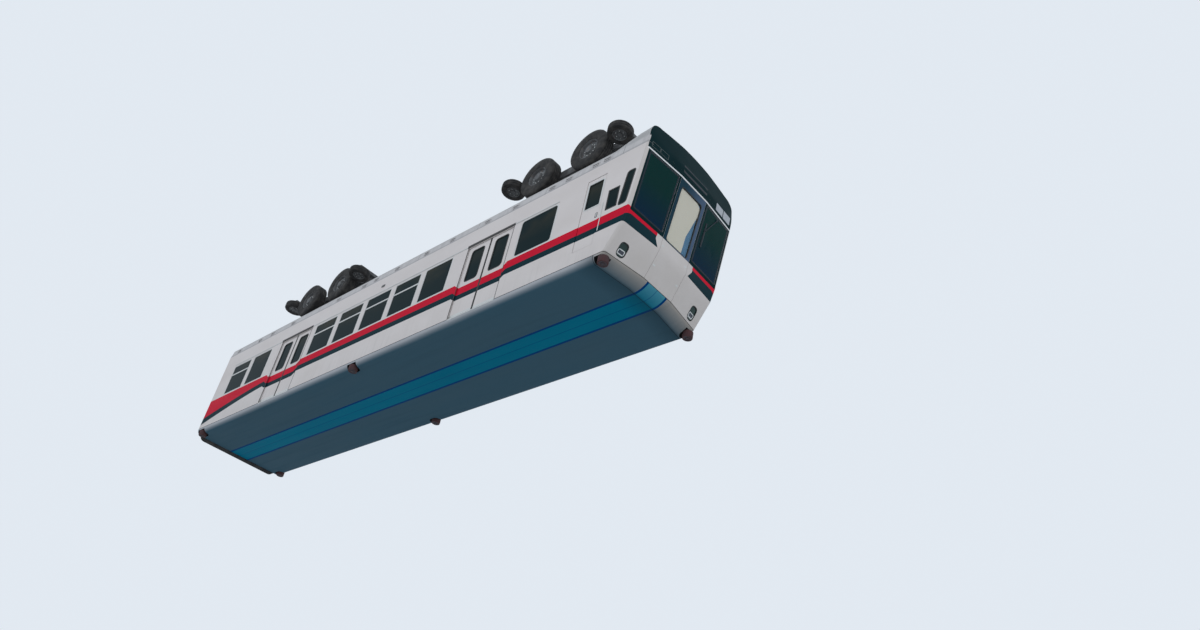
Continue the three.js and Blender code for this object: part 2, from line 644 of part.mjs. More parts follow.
// Roof fairing over the cab: it rises from the roof's own section to the tall black front panel
function makeFairing() {
  const stations = [
    { x: FAIRING_X, band: BAND_H, bandIn: BAND_IN, top: ROOF_H - 30, crown: 30, shoulder: 200 },
    { x: 7050, band: 2650, bandIn: 24, top: 2880, crown: 50, shoulder: 230 },
    { x: 7350, band: 2690, bandIn: 18, top: 2960, crown: 80, shoulder: 260 },
    { x: 7720, band: 2700, bandIn: 14, top: 3000, crown: 100, shoulder: 290 },
  ];
  const rings = stations.map((st) => ({
    at: st.x,
    points: roofSection(st.band, st.bandIn, st.top, st.crown, st.shoulder)
      .extractPoints(5)
      .shape.map((p) => [p.x, p.y]),
  }));
  return loft(rings, true).intersect(noseBlock(CANT_H + FIT, 3120, 6600));
}

// Rear end wall with the gangway doorway
function makeRearWall() {
  const y = HALF_WIDTH - WALL - FIT;
  const { thick, door, h1 } = REAR_WALL;
  const wall = box(REAR_X, REAR_X + thick, -y, y, up(FLOOR_H) + FIT, up(CANT_H));
  const doorway = box(REAR_X - 10, REAR_X + thick + 10, -door, door, up(100), up(h1));
  const f = FOOTPLATE;
  const low = up(FLOOR_H) + FIT;
  return wall.subtract(doorway).add(box(REAR_X - f.out, REAR_X + f.in, -f.y, f.y, low, low + f.tall));
}

// Half of the gangway bellows: a folded ring round the doorway, closed by a flat hoop
function makeBellows() {
  const b = BELLOWS;
  const ring = (inset, x0, x1) => {
    const y = b.y - inset;
    return prismYZ(roundRect(-y, y, up(b.h0 + inset), up(b.h1 - inset), b.r - inset / 2), x0, x1);
  };
  const face = REAR_X - FIT;
  const back = face - b.folds * b.pitch;
  const rings = [ring(b.waist, back, face), ring(20, back - b.hoop, back)];
  for (let k = 0; k < b.folds; k++) {
    const x1 = face - k * b.pitch;
    rings.push(ring(0, x1 - 0.62 * b.pitch, x1));
  }
  const h = BELLOWS_HOLE;
  return join(rings).subtract(prismYZ(roundRect(-h.y, h.y, up(h.h0), up(h.h1), h.r), back - 60, REAR_X + 10));
}

// Cab bulkhead with its doorway, between the side walls
function makeBulkhead() {
  const y = HALF_WIDTH - WALL - FIT;
  const { x0, x1, door, h1 } = BULKHEAD;
  const wall = box(x0, x1, -y, y, up(FLOOR_H) + FIT, up(CANT_H));
  return wall.subtract(box(x0 - 10, x1 + 10, -door, door, up(100), up(h1)));
}

// Driver's desk, cupboard and seat on one floor plate
function makeCabFittings() {
  return join(CAB_PARTS.map((p) => box(p.x0, p.x1, p.y0, p.y1, up(p.h0) + FIT, up(p.h1) + FIT)));
}

// Longitudinal seats of one side, joined at the doors by the flat threshold plate
function makeSeats(s) {
  const f = up(FLOOR_H) + FIT;
  const yWall = HALF_WIDTH - WALL - FIT;
  const t = THRESHOLD;
  const parts = [sideBox(s, t.x0, t.x1, yWall - t.deep, yWall, f, f + t.tall)];
  for (const { x0, x1 } of SEATS) {
    for (const { deep, h0, h1 } of SEAT_PARTS) {
      parts.push(sideBox(s, x0, x1, yWall - deep, yWall, up(h0), up(h1)));
    }
  }
  return join(parts);
}

// Hanger: pivot head on the bogie, column through the girder's slot, yoke below with its two air springs
function makeHanger(x) {
  const head = post(x, 0, PIVOT.z + FIT, PIVOT.z + PIVOT.tall, PIVOT.head, 20);
  const column = box(x - COLUMN.x, x + COLUMN.x, -COLUMN.y, COLUMN.y, YOKE.z0, PIVOT.z + 60);
  const yoke = box(x - YOKE.x, x + YOKE.x, -YOKE.y, YOKE.y, YOKE.z0, YOKE.z1);
  const { r, waist, y, top } = SPRING;
  const tall = top - YOKE.z1 - FIT;
  const bellows = [
    [0, -10],
    [waist, -10],
    [r, 50],
    [waist, tall / 2],
    [r, tall - 50],
    [waist, tall],
    [0, tall],
  ];
  const springs = SIDES.map(({ s }) => turned(bellows, x, s * y, YOKE.z1, 14));
  return join([head, column, yoke, ...springs]);
}

// Bogie frame: side beams with the axle legs, end beams with the guide wheel arms, bolster, gearcases, motors
function makeBogieFrame(x) {
  const b = BEAM;
  const parts = [box(x - BOLSTER.x, x + BOLSTER.x, -b.y, b.y, BOLSTER.z0, PIVOT.z)];
  const holes = [post(x, 0, b.z0 - 20, PIVOT.z + 20, PIVOT.hole, 20)];
  for (const { s } of SIDES) {
    parts.push(sideBox(s, x - b.end, x + b.end, b.y - b.half, b.y + b.half, b.z0, b.z1));
  }
  for (const d of [-1, 1]) {
    const end = x + d * (b.end - END_BEAM.in);
    const arm = x + d * GUIDE.x;
    const axle = x + d * AXLE_X;
    const reach = GUIDE.y + ARM.over;
    parts.push(box(end - END_BEAM.x, end + END_BEAM.x, -b.y, b.y, b.z0, b.z1));
    parts.push(box(arm - ARM.x, arm + ARM.x, -reach, reach, ARM.z0, ARM.z1));
    parts.push(box(axle - GEARCASE.x, axle + GEARCASE.x, -GEARCASE.y, GEARCASE.y, GEARCASE.z0, GEARCASE.z1));
    parts.push(box(Math.min(axle, end), Math.max(axle, end), -MOTOR.y, MOTOR.y, MOTOR.z0, MOTOR.z1));
    parts.push(box(axle - TIE.x, axle + TIE.x, -b.y, b.y, TIE.z0, TIE.z1));
    for (const { s } of SIDES) {
      parts.push(sideBox(s, axle - LEG.x, axle + LEG.x, b.y - b.half, b.y + b.half, LEG.z0, b.z0 + 20));
      holes.push(post(arm, s * GUIDE.y, ARM.z0 - 10, ARM.seat, seatRadius(GUIDE.pin, 12), 12));
    }
    holes.push(crossBar(axle, TYRE.r, -500, 500, seatRadius(AXLE_R, 16), 16, Math.PI / 16));
  }
  return cut(join(parts), holes);
}

// Wheelset: one axle with its two rubber-tyred wheels, dished on the outside
function makeWheelset(x) {
  const { r, half, y, shoulder, rim, dish } = TYRE;
  const outline = [
    [0, -half + 30],
    [rim, -half],
    [r - shoulder, -half],
    [r, -half + shoulder],
    [r, half - shoulder],
    [r - shoulder, half],
    [rim, half],
    [rim - 60, half - dish],
    [0, half - dish],
  ];
  const parts = [crossBar(x, r, -y, y, AXLE_R, 16)];
  for (const { s } of SIDES) {
    const g = new THREE.LatheGeometry(outline.map(([a, b]) => new THREE.Vector2(a, s * b)), 20);
    if (s < 0) {
      g.setIndex([...g.index.array].reverse());
    }
    g.translate(x, s * y, r);
    parts.push(solidOf(g));
  }
  return join(parts);
}

// Guide wheel that hangs on its own vertical pin
function makeGuideWheel(x, y) {
  const { r, half, shoulder, pin, pinTop, z } = GUIDE;
  const outline = [
    [0, -half],
    [r - shoulder, -half],
    [r, -half + shoulder],
    [r, half - shoulder],
    [r - shoulder, half],
    [pin, half],
    [pin, pinTop],
    [0, pinTop],
  ];
  return turned(outline, x, y, z, 16);
}

// Steadying roller on its vertical pin
function makeRoller(x, y) {
  const { r, half, shoulder, pin, pinTop, h } = ROLLER;
  const outline = [
    [0, -half],
    [r - shoulder, -half],
    [r, -half + shoulder],
    [r, half - shoulder],
    [r - shoulder, half],
    [pin, half],
    [pin, pinTop],
    [0, pinTop],
  ];
  return turned(outline, x, y, up(h), 14);
}

// Rear coupler: a drawbar on a vertical pin in the draft box, with a flat-faced head
function makeCoupler() {
  const c = COUPLER;
  const x = REAR_X + c.x;
  const { h0, h1 } = DRAFT_BOX;
  return join([
    box(REAR_X - 190, x, -c.shank, c.shank, up(h0 + 16), up(h1 - 16)),
    post(x, 0, up(h0 + 10), up(h1 - 10), c.eye, 16),
    post(x, 0, up(h0 - 8), up(h1 + 8), c.pin, 12),
    box(REAR_X - 230, REAR_X - 150, -c.head, c.head, up(h0 + 4), up(h1)),
  ]);
}

// Roof unit: air conditioner packs and their ducting between the two hangers
function makeRoofUnit() {
  const z = up(ROOF_H + PLINTH.tall) + FIT;
  return join(UNIT_BOXES.map(({ x0, x1, half, tall }) => box(x0, x1, -half, half, z, z + tall)));
}

// The body
piece("floor_pan", makeFloorPan(), BELLY_BLUE);
for (const { side, s } of SIDES) {
  piece("side_wall_" + side, makeSideWall(s), BODY_WHITE);
  piece("window_frames_" + side, makeWindowFrames(s), FRAME_METAL, 0.4, 0.6);
}
piece("roof", makeRoof(), ROOF_GREY, 0.6);
piece("roof_fairing", makeFairing(), FACE_BLACK, 0.3);
piece("roof_unit", makeRoofUnit(), ROOF_GREY, 0.6);
piece("front_mask", makeMask(), BODY_WHITE);
piece("emergency_door", makeEscapeDoor(), BODY_WHITE);
piece("rear_wall", makeRearWall(), BODY_WHITE);
piece("gangway_bellows", makeBellows(), RUBBER, 0.8);
piece("cab_bulkhead", makeBulkhead(), LINING);
piece("cab_fittings", makeCabFittings(), STEEL);
for (const { side, s } of SIDES) {
  piece("windscreen_" + side, makeScreen(s), GLASS, 0.1);
  piece("headlamp_" + side, makeLamp(s), FACE_BLACK, 0.3);
  piece("seats_" + side, makeSeats(s), SEAT_CLOTH, 0.9);
  piece("crew_door_" + side, makeCrewDoor(s), BODY_WHITE);
  DOOR_X.forEach((x, i) => {
    const where = i === 0 ? "front" : "rear";
    piece(`door_${where}_${side}_a`, makeLeaf(s, x, 1), BODY_WHITE);
    piece(`door_${where}_${side}_b`, makeLeaf(s, x, -1), BODY_WHITE);
  });
  ROLLER_X.forEach((x, i) => {
    piece(`roller_${i + 1}_${side}`, makeRoller(x, s * ROLLER.y), HUB_BROWN, 0.7);
  });
}
piece("coupler", makeCoupler(), STEEL, 0.6, 0.7);

// The running gear
for (const [name, x] of [
  ["front", BOGIE_X],
  ["rear", -BOGIE_X],
]) {
  piece("hanger_" + name, makeHanger(x), STEEL, 0.6, 0.5);
  piece("bogie_frame_" + name, makeBogieFrame(x), STEEL, 0.6, 0.5);
  [AXLE_X, -AXLE_X].forEach((a, i) => {
    piece(`wheelset_${name}_${i + 1}`, makeWheelset(x + a), RUBBER, 0.8);
  });
  for (const { side, s } of SIDES) {
    [GUIDE.x, -GUIDE.x].forEach((a, i) => {
      piece(`guide_wheel_${name}_${i + 1}_${side}`, makeGuideWheel(x + a, s * GUIDE.y), RUBBER, 0.8);
    });
  }
}

export default car;
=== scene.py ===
"""Looks of a suspended monorail car, built section by section round the fixed solids of the part.

Metres, +X towards the cab, +Y to the car's left, +Z up; the origin lies on the running surface
under the tyres, midway between the two bogies. Where no comment says otherwise, a row of sizes is
from and to along the car or out from a middle, height above the belly from and to, and corners.
"""
import math

import bpy
import numpy as np
from mathutils import Matrix


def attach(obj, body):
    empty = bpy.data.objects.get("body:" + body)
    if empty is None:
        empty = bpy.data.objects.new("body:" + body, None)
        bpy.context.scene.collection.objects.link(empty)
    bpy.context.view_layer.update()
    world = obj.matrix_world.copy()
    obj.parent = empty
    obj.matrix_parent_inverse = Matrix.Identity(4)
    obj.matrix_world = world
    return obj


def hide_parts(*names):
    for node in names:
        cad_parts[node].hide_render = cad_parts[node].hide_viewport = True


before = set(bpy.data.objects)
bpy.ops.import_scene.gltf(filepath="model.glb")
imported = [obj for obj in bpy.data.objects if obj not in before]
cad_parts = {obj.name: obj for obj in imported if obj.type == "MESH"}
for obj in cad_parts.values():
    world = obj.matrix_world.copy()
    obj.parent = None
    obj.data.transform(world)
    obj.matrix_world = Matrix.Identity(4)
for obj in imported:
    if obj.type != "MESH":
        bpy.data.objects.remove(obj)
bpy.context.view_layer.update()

# Camera. It stands below the car, to the right of its cab end, and looks up at the belly, the side
# and the front, turned a little about its own axis, as the photograph was taken.
CAMERA_PLACE = (16.278, -9.353, -13.497)
CAMERA_HEADING = math.radians(136.82)
CAMERA_RISE = math.radians(30.33)
CAMERA_ROLL = math.radians(11.29)
CAMERA_LENS = 27.96
CAMERA_SHIFT = 0.0721


def aimed(name, data, place, ahead, roll=0.0):
    """Stands a camera or a lamp at a place: it looks ahead, and its level edge is turned by roll."""
    ahead = np.array(ahead) / np.linalg.norm(ahead)
    level = np.cross(ahead, (0.0, 0.0, 1.0))
    level /= np.linalg.norm(level)
    across = math.cos(roll) * level + math.sin(roll) * np.cross(level, ahead)
    made = bpy.data.objects.new(name, data)
    columns = np.column_stack([across, np.cross(across, ahead), -ahead, place])
    made.matrix_world = Matrix(columns.tolist() + [[0.0, 0.0, 0.0, 1.0]])
    bpy.context.scene.collection.objects.link(made)
    return made


camera_data = bpy.data.cameras.new("camera")
camera_data.lens = CAMERA_LENS
camera_data.shift_y = CAMERA_SHIFT
camera_data.clip_end = 500.0
bpy.context.scene.camera = aimed("camera", camera_data, CAMERA_PLACE, (
    math.cos(CAMERA_RISE) * math.cos(CAMERA_HEADING),
    math.cos(CAMERA_RISE) * math.sin(CAMERA_HEADING),
    math.sin(CAMERA_RISE),
), CAMERA_ROLL)

# Stage. A pale studio floor lies at the camera's feet, ten metres under the belly, and an even pale
# sky with two large soft lamps gives the light.
FLOOR_Z = -13.6
FLOOR_HALF = 45.0
SKY_COLOUR = (0.80, 0.86, 0.93, 1.0)
SKY_STRENGTH = 0.95
SOFT_LAMPS = (
    # name, place, aimed at, size, watts, colour
    ("key_lamp", (30.0, -16.0, 6.0), (5.0, 0.0, -2.5), 14.0, 900.0, (1.0, 0.95, 0.9)),
    ("fill_lamp", (-4.0, -34.0, -2.0), (-1.0, 0.0, -2.5), 18.0, 400.0, (0.96, 0.97, 1.0)),
)


def node(tree, kind, inputs=None, **settings):
    """Adds a shader node: settings are its own properties, inputs are values or links by socket."""
    made = tree.nodes.new("ShaderNode" + kind)
    for key, value in settings.items():
        setattr(made, key, value)
    for key, value in (inputs or {}).items():
        if isinstance(value, bpy.types.NodeSocket):
            tree.links.new(value, made.inputs[key])
        else:
            made.inputs[key].default_value = value
    return made


def finish_material(name, roughness, metallic=0.0, alpha=1.0, specular=0.5):
    """A new material, its main shader, and the place on the car that its pattern is drawn by."""
    made = bpy.data.materials.new(name)
    made.use_nodes = True
    tree = made.node_tree
    tree.nodes.clear()
    shader = node(tree, "BsdfPrincipled", {
        "Roughness": roughness,
        "Metallic": metallic,
        "Alpha": alpha,
        "Specular IOR Level": specular,
    })
    node(tree, "OutputMaterial", {"Surface": shader.outputs[0]})
    return made, shader, node(tree, "TexCoord").outputs["Object"]


def feed(shader, value, socket="Base Color"):
    """Leads a worked out value into one of the main shader's sockets."""
    shader.id_data.links.new(value, shader.inputs[socket])


def calc(operation, *values):
    """One arithmetic step between sockets and numbers."""
    tree = next(value for value in values if isinstance(value, bpy.types.NodeSocket)).id_data
    return node(tree, "Math", dict(enumerate(values)), operation=operation).outputs[0]


def times(a, b):
    """Product of two shares."""
    return calc("MULTIPLY", a, b)


def above(a, b):
    """One where a is more than b, else nought."""
    return calc("GREATER_THAN", a, b)


def below(a, b):
    """One where a is less than b, else nought."""
    return calc("LESS_THAN", a, b)


def slope(value, low, high, at_low=0.0, at_high=1.0):
    """Straight ramp of a value: at_low up to low, at_high from high on."""
    inputs = {"Value": value, "From Min": low, "From Max": high, "To Min": at_low, "To Max": at_high}
    return node(value.id_data, "MapRange", inputs).outputs[0]


def tint(share, first, second):
    """Mixes two colours by a share; each is a colour or a socket."""
    inputs = {0: share}
    for key, value in ((6, first), (7, second)):
        inputs[key] = value if isinstance(value, bpy.types.NodeSocket) else (*value, 1.0)
    return node(share.id_data, "Mix", inputs, data_type="RGBA").outputs[2]


def cloud(place, scale, detail=3.0, stretch=(1.0, 1.0, 1.0)):
    """Soft noise from 0 to 1 at the given scale, drawn out along an axis by stretch."""
    drawn = node(place.id_data, "Mapping", {"Vector": place, "Scale": stretch}).outputs[0]
    inputs = {"Vector": drawn, "Scale": scale, "Detail": detail}
    return node(place.id_data, "TexNoise", inputs).outputs[0]


def relief(shader, height, strength, distance):
    """Fine relief on the surface from a height socket."""
    inputs = {"Height": height, "Strength": strength, "Distance": distance}
    feed(shader, node(shader.id_data, "Bump", inputs).outputs[0], "Normal")


def mottled(name, roughness, first, second, noise, span=None, grain=None, **traits):
    """A finish whose colour drifts from the first to the second tone with a cloud (scale, detail,
    stretch); span is a slope over it, and grain a relief (scale, detail, strength, depth)."""
    made, shader, place = finish_material(name, roughness, **traits)
    drift = cloud(place, *noise)
    feed(shader, tint(slope(drift, *span) if span else drift, first, second))
    if grain:
        relief(shader, cloud(place, *grain[:2]), *grain[2:])
    return made


def placed(name, points, faces):
    """A new mesh object of points and faces, at the origin."""
    mesh = bpy.data.meshes.new(name)
    mesh.from_pydata(points, [], faces)
    made = bpy.data.objects.new(name, mesh)
    bpy.context.scene.collection.objects.link(made)
    return made


corners = np.array([(-1, -1), (1, -1), (1, 1), (-1, 1)]) * FLOOR_HALF
studio_floor = placed("studio_floor", np.insert(corners, 2, FLOOR_Z, axis=1), [(0, 1, 2, 3)])
studio_floor.data.materials.append(
    mottled("studio_floor_paint", 0.85, (0.55, 0.55, 0.54), (0.58, 0.58, 0.57), (0.4,))
)
world = bpy.data.worlds.new("pale_sky")
world.use_nodes = True
world.node_tree.nodes["Background"].inputs[0].default_value = SKY_COLOUR
world.node_tree.nodes["Background"].inputs[1].default_value = SKY_STRENGTH
bpy.context.scene.world = world
bpy.context.scene.view_settings.view_transform = "Standard"
for lamp_name, place, target, size, watts, colour in SOFT_LAMPS:
    lamp = bpy.data.lights.new(lamp_name, "AREA")
    lamp.size = size
    lamp.energy = watts
    lamp.color = colour
    aimed(lamp_name, lamp, place, np.subtract(target, place))

# Floor pan. The real one is a welded aluminium tray, painted grey, its lower edges rolled to a radius
# and its front end curved up to the front panel; a teal band with navy edges runs down its middle.
BELLY_Z = -3.58
HALF_WIDTH = 1.29
REAR_X = -7.36
PAN_TOP = 0.145
PAN_EDGE_R = 0.14
NOSE_RISE = 0.145
NOSE_RUN = 0.33
# Pan tones: its grey in painted shade on the belly, and lit by painted light on the rolled edges and nose
BELLY_SHADED = (0.044, 0.110, 0.158)
BELLY_EDGE_LIT = (0.40, 0.42, 0.45)
NOSE_GREY_LIT = (0.37, 0.345, 0.32)
BAND_HALF = 0.279
BAND_EDGE = 0.046
TEAL = (0.0, 0.172, 0.275)
NAVY = (0.0, 0.050, 0.180)
# x of the seam across the nose, in the middle and at the sides
NOSE_SEAM = (6.90, 6.80)
ROLLER_X = (6.99, -0.3, -7.17)
ROLLER_Y = 1.2
SIDES = (("right", -1), ("left", 1))
# Front end: height above the belly, x at the middle facet, x at the outer end of the side facets
NOSE_ROWS = np.array([
    (0.150, 7.200, 7.070),
    (0.690, 7.450, 7.370),
    (0.960, 7.476, 7.440),
    (2.320, 7.685, 7.610),
    (2.560, 7.690, 7.625),
    (3.120, 7.610, 7.570),
])
NOSE_MID_Y = 0.385
NOSE_EDGE_Y = 1.228
NOSE_CORNER = 0.060
# Roller pockets: radius of the ends, half of the straight length, height; the coupler's draft box:
# half width, height from and to, length
POCKET = (0.122, 0.045, 0.100)
DRAFT = (0.15, 0.018, 0.128, 0.42)


def soft_max(a, b, soft):
    """The larger of two arrays, rounded where they cross: half of a + b plus the root of their gap
    squared and soft squared, less half of soft."""
    return 0.5 * (a + b + np.sqrt((a - b) ** 2 + soft**2)) - 0.5 * soft


def front_x(y, h, inset=0.0):
    """x of the front end at |y| and height h above the belly: straight between the rows of the
    table and between the two facet lines, then a quarter ellipse round the corner."""
    mid = np.interp(h, NOSE_ROWS[:, 0], NOSE_ROWS[:, 1])
    edge = np.interp(h, NOSE_ROWS[:, 0], NOSE_ROWS[:, 2])
    share = (np.abs(y) - NOSE_MID_Y) / (NOSE_EDGE_Y - NOSE_MID_Y)
    facet = mid + (edge - mid) * np.clip(share, 0.0, 1.0)
    round_off = np.clip((np.abs(y) - NOSE_EDGE_Y) / (HALF_WIDTH - NOSE_EDGE_Y), 0.0, 1.0)
    return facet - NOSE_CORNER * (1.0 - np.sqrt(1.0 - round_off**2)) - inset


def grid_faces(rows, columns, join_rows=False, join_columns=False):
    """Quads of a grid of points; joined rows or columns close on the first ones."""
    last_row = rows if join_rows else rows - 1
    last_column = columns if join_columns else columns - 1
    i, j = np.meshgrid(np.arange(last_row), np.arange(last_column), indexing="ij")
    i2, j2 = (i + 1) % rows, (j + 1) % columns
    quads = np.stack([i * columns + j, i2 * columns + j, i2 * columns + j2, i * columns + j2], axis=-1)
    return [tuple(q) for q in quads.reshape(-1, 4).tolist()]


def shell_of(points, faces, finish=0):
    """One closed shell with its material's number; the volume inside, from the cone that each face
    makes with the origin, tells whether its faces have to be turned to point outwards."""
    points = np.asarray(points, float).reshape(-1, 3)
    volume = 0.0
    for face in faces:
        ring = points[list(face)]
        volume += np.sum(np.cross(ring[1:-1], ring[2:]) @ ring[0])
    if volume < 0:
        faces = [tuple(reversed(face)) for face in faces]
    return points, faces, finish


def stacked(loops, finish=0):
    """Closed shell through a stack of loops of equal count, its two ends closed by flat faces."""
    loops = np.asarray(loops, float)
    rows, columns = loops.shape[:2]
    faces = grid_faces(rows, columns, join_columns=True)
    faces.append(tuple(range(columns)))
    faces.append(tuple(range(rows * columns - 1, (rows - 1) * columns - 1, -1)))
    return shell_of(loops, faces, finish)


def ringed(loops, finish=0):
    """Closed shell through loops whose last one joins the first, as a frame or a tube ring."""
    loops = np.asarray(loops, float)
    return shell_of(loops, grid_faces(*loops.shape[:2], True, True), finish)


def two_sided(outer, inner, finish=0):
    """Closed shell between two grids of equal shape: both grids and the strip round their rims."""
    rows, columns = outer.shape[:2]
    count = rows * columns
    quads = grid_faces(rows, columns)
    rim = (
        list(range(columns))
        + [i * columns + columns - 1 for i in range(1, rows)]
        + [(rows - 1) * columns + j for j in range(columns - 2, -1, -1)]
        + [i * columns for i in range(rows - 2, 0, -1)]
    )
    faces = quads + [tuple(k + count for k in reversed(face)) for face in quads]
    faces += [(rim[k - 1], rim[k], rim[k] + count, rim[k - 1] + count) for k in range(len(rim))]
    return shell_of(np.concatenate([outer.reshape(-1, 3), inner.reshape(-1, 3)]), faces, finish)


def joined(shells):
    """Points, faces and material numbers of several shells taken together."""
    points, faces, numbers, start = [], [], [], 0
    for shell_points, shell_faces, finish in shells:
        points.append(shell_points)
        faces += [tuple(start + k for k in face) for face in shell_faces]
        numbers += [finish] * len(shell_faces)
        start += len(shell_points)
    return np.concatenate(points), faces, numbers


def make_piece(name, shells, finishes, replaces=(), body="car_body", smooth=32.0):
    """Joins closed shells into one object with its materials, rides it and hides the parts that it
    replaces.
    """
    points, faces, numbers = joined(shells)
    made = placed(name, points, faces)
    for finish in finishes:
        made.data.materials.append(finish)
    made.data.polygons.foreach_set("material_index", np.array(numbers, np.int32))
    made.data.shade_smooth()
    made.data.set_sharp_from_angle(angle=math.radians(smooth))
    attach(made, body)
    if replaces:
        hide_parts(*replaces)
    return made


def carve(piece, shells):
    """Cuts closed shells out of a piece's mesh, one after another."""
    for points, faces, finish in shells:
        cutter = placed("cutter", points, faces)
        cutter.data.polygons.foreach_set("material_index", np.full(len(faces), finish, np.int32))
        cut = piece.modifiers.new("cut", "BOOLEAN")
        cut.operation = "DIFFERENCE"
        cut.solver = "EXACT"
        cut.object = cutter
        graph = bpy.context.evaluated_depsgraph_get()
        carved = bpy.data.meshes.new_from_object(piece.evaluated_get(graph))
        piece.modifiers.clear()
        spent = (piece.data, cutter.data)
        piece.data = carved
        bpy.data.objects.remove(cutter)
        for mesh in spent:
            bpy.data.meshes.remove(mesh)


def rounded(a0, a1, b0, b1, radius, steps=6):
    """Outline of a rectangle with four quarter circles for corners, as columns a and b."""
    turn = np.linspace(0.0, math.pi / 2, steps)
    corners = (
        (a1 - radius, b1 - radius),
        (a0 + radius, b1 - radius),
        (a0 + radius, b0 + radius),
        (a1 - radius, b0 + radius),
    )
    angles = [turn + k * math.pi / 2 for k in range(4)]
    return np.concatenate([
        np.column_stack([a + radius * np.cos(angle), b + radius * np.sin(angle)])
        for (a, b), angle in zip(corners, angles)
    ])


def inset(outline, by):
    """Moves each point of an outline inwards by a length, square to the line between its neighbours."""
    after = np.roll(outline, -1, axis=0)
    run = after - np.roll(outline, 1, axis=0)
    run /= np.maximum(np.linalg.norm(run, axis=1, keepdims=True), 1e-9)
    normal = np.column_stack([run[:, 1], -run[:, 0]])
    turns = np.sum(outline[:, 0] * after[:, 1] - after[:, 0] * outline[:, 1])
    return outline - np.sign(turns) * by * normal


def plate(outline, surface, shallow, deep, bevel=0.0, rings=(), finish=0):
    """A plate of the outline's shape between two depths of a surface; surface(a, b, depth) gives
    points. Its edges are eased by a bevel, and rings are shares of the way in to its middle."""
    centre = outline.mean(axis=0)
    small = inset(outline, bevel) if bevel else outline
    steps = [(centre + (small - centre) * (1.0 - share), deep) for share in reversed(rings)]
    steps.append((small, deep))
    if bevel:
        away = bevel if deep > shallow else -bevel
        steps += [(outline, deep - away), (outline, shallow + away)]
    steps.append((small, shallow))
    steps += [(centre + (small - centre) * (1.0 - share), shallow) for share in rings]
    return stacked([surface(line[:, 0], line[:, 1], depth) for line, depth in steps], finish)


def frame_plate(outer, inner, surface, shallow, deep, bevel=0.0, finish=0):
    """A frame between two outlines of equal count and two depths of a surface."""
    away = bevel if deep > shallow else -bevel
    steps = [(outer, deep), (outer, shallow + away)]
    if bevel:
        steps += [(inset(outer, bevel), shallow), (inset(inner, -bevel), shallow)]
    steps += [(inner, shallow + away), (inner, deep)]
    return ringed([surface(line[:, 0], line[:, 1], depth) for line, depth in steps], finish)


def level_face(a, b, depth):
    """A level surface: a along X, b along Y, depth upwards."""
    return np.stack([a, b, depth + 0 * a], axis=-1)


def sided(sign, near, far, middle=0.0):
    """Two distances from a middle towards the side of the sign, as places in order."""
    return sorted((middle + sign * near, middle + sign * far))


def facing(place):
    """Along the car, across it, off its middle plane and above its belly: four sockets of a place."""
    split = node(place.id_data, "SeparateXYZ", {0: place})
    x, y, z = split.outputs
    return x, y, calc("ABSOLUTE", y), calc("SUBTRACT", z, BELLY_Z)


# The pan's underside is a height over (x, y): the larger of the rolled edge and the nose curve.
arc = np.linspace(0.0, math.pi / 2, 15)
edge_y = HALF_WIDTH - PAN_EDGE_R + PAN_EDGE_R * np.sin(arc)
pan_y = np.concatenate([-edge_y[::-1], np.linspace(-1.05, 1.05, 31), edge_y])
along = np.concatenate([np.linspace(0.0, 0.93, 40), np.linspace(0.935, 1.0, 46)])
station, pan_across = np.meshgrid(along, pan_y, indexing="ij")
reach = front_x(np.minimum(np.abs(pan_across), NOSE_EDGE_Y), 0.15) - 0.004
reach -= 0.05 * np.clip((np.abs(pan_across) - 1.20) / 0.09, 0.0, 1.0) ** 2
pan_x = REAR_X + station * (reach - REAR_X)
nose_radius = (NOSE_RUN**2 + NOSE_RISE**2) / (2 * NOSE_RISE)
into_nose = np.clip(NOSE_RUN - (reach - pan_x), 0.0, None)
nose_h = nose_radius - np.sqrt(nose_radius**2 - into_nose**2)
into_edge = np.clip(np.abs(pan_across) - (HALF_WIDTH - PAN_EDGE_R), 0.0, PAN_EDGE_R)
edge_h = PAN_EDGE_R - np.sqrt(PAN_EDGE_R**2 - into_edge**2)
pan_h = np.minimum(soft_max(nose_h, edge_h, 0.012), PAN_TOP - 0.004)
under = np.stack([pan_x, pan_across, BELLY_Z + pan_h], axis=-1)
over = np.stack([pan_x, pan_across, np.full_like(pan_h, BELLY_Z + PAN_TOP)], axis=-1)

# The belly is drawn dark as painted shade; the rolled edges, the nose and the teal on it are lightened by
# painted light.
belly_paint, shader, place = finish_material("belly_paint", 0.42, specular=0.015)
x, _, off_middle, height = facing(place)
grime = cloud(place, 1.3, 5.0, (0.35, 1.6, 1.0))
streak = cloud(place, 3.0, 6.0, (0.12, 3.5, 1.0))
lit_edge_share = slope(calc("ADD", height, times(grime, 0.02)), 0.018, 0.100)
lit_edge_share = times(lit_edge_share, slope(off_middle, 1.10, 1.19))
from_seam = calc("SUBTRACT", x, slope(off_middle, 0.40, 1.20, *NOSE_SEAM))
nose_painted_light = times(slope(height, 0.002, 0.135), slope(x, 6.7, 6.95))
nose_painted_light = calc("MAXIMUM", nose_painted_light, slope(from_seam, -0.02, 0.24, 0.0, 0.72))
teal = tint(nose_painted_light, TEAL, (0.09, 0.32, 0.41))
teal = tint(slope(grime, 0.3, 0.7, 0.0, 0.25), teal, (0.0, 0.095, 0.185))
teal = tint(times(below(off_middle, 0.007), 0.6), teal, NAVY)
# A band before the seam across the nose is darkened as painted shade.
seam_shade = times(slope(from_seam, -0.45, 0.0), slope(from_seam, 0.06, 0.0))
tray = tint(grime, BELLY_SHADED, (0.056, 0.112, 0.152))
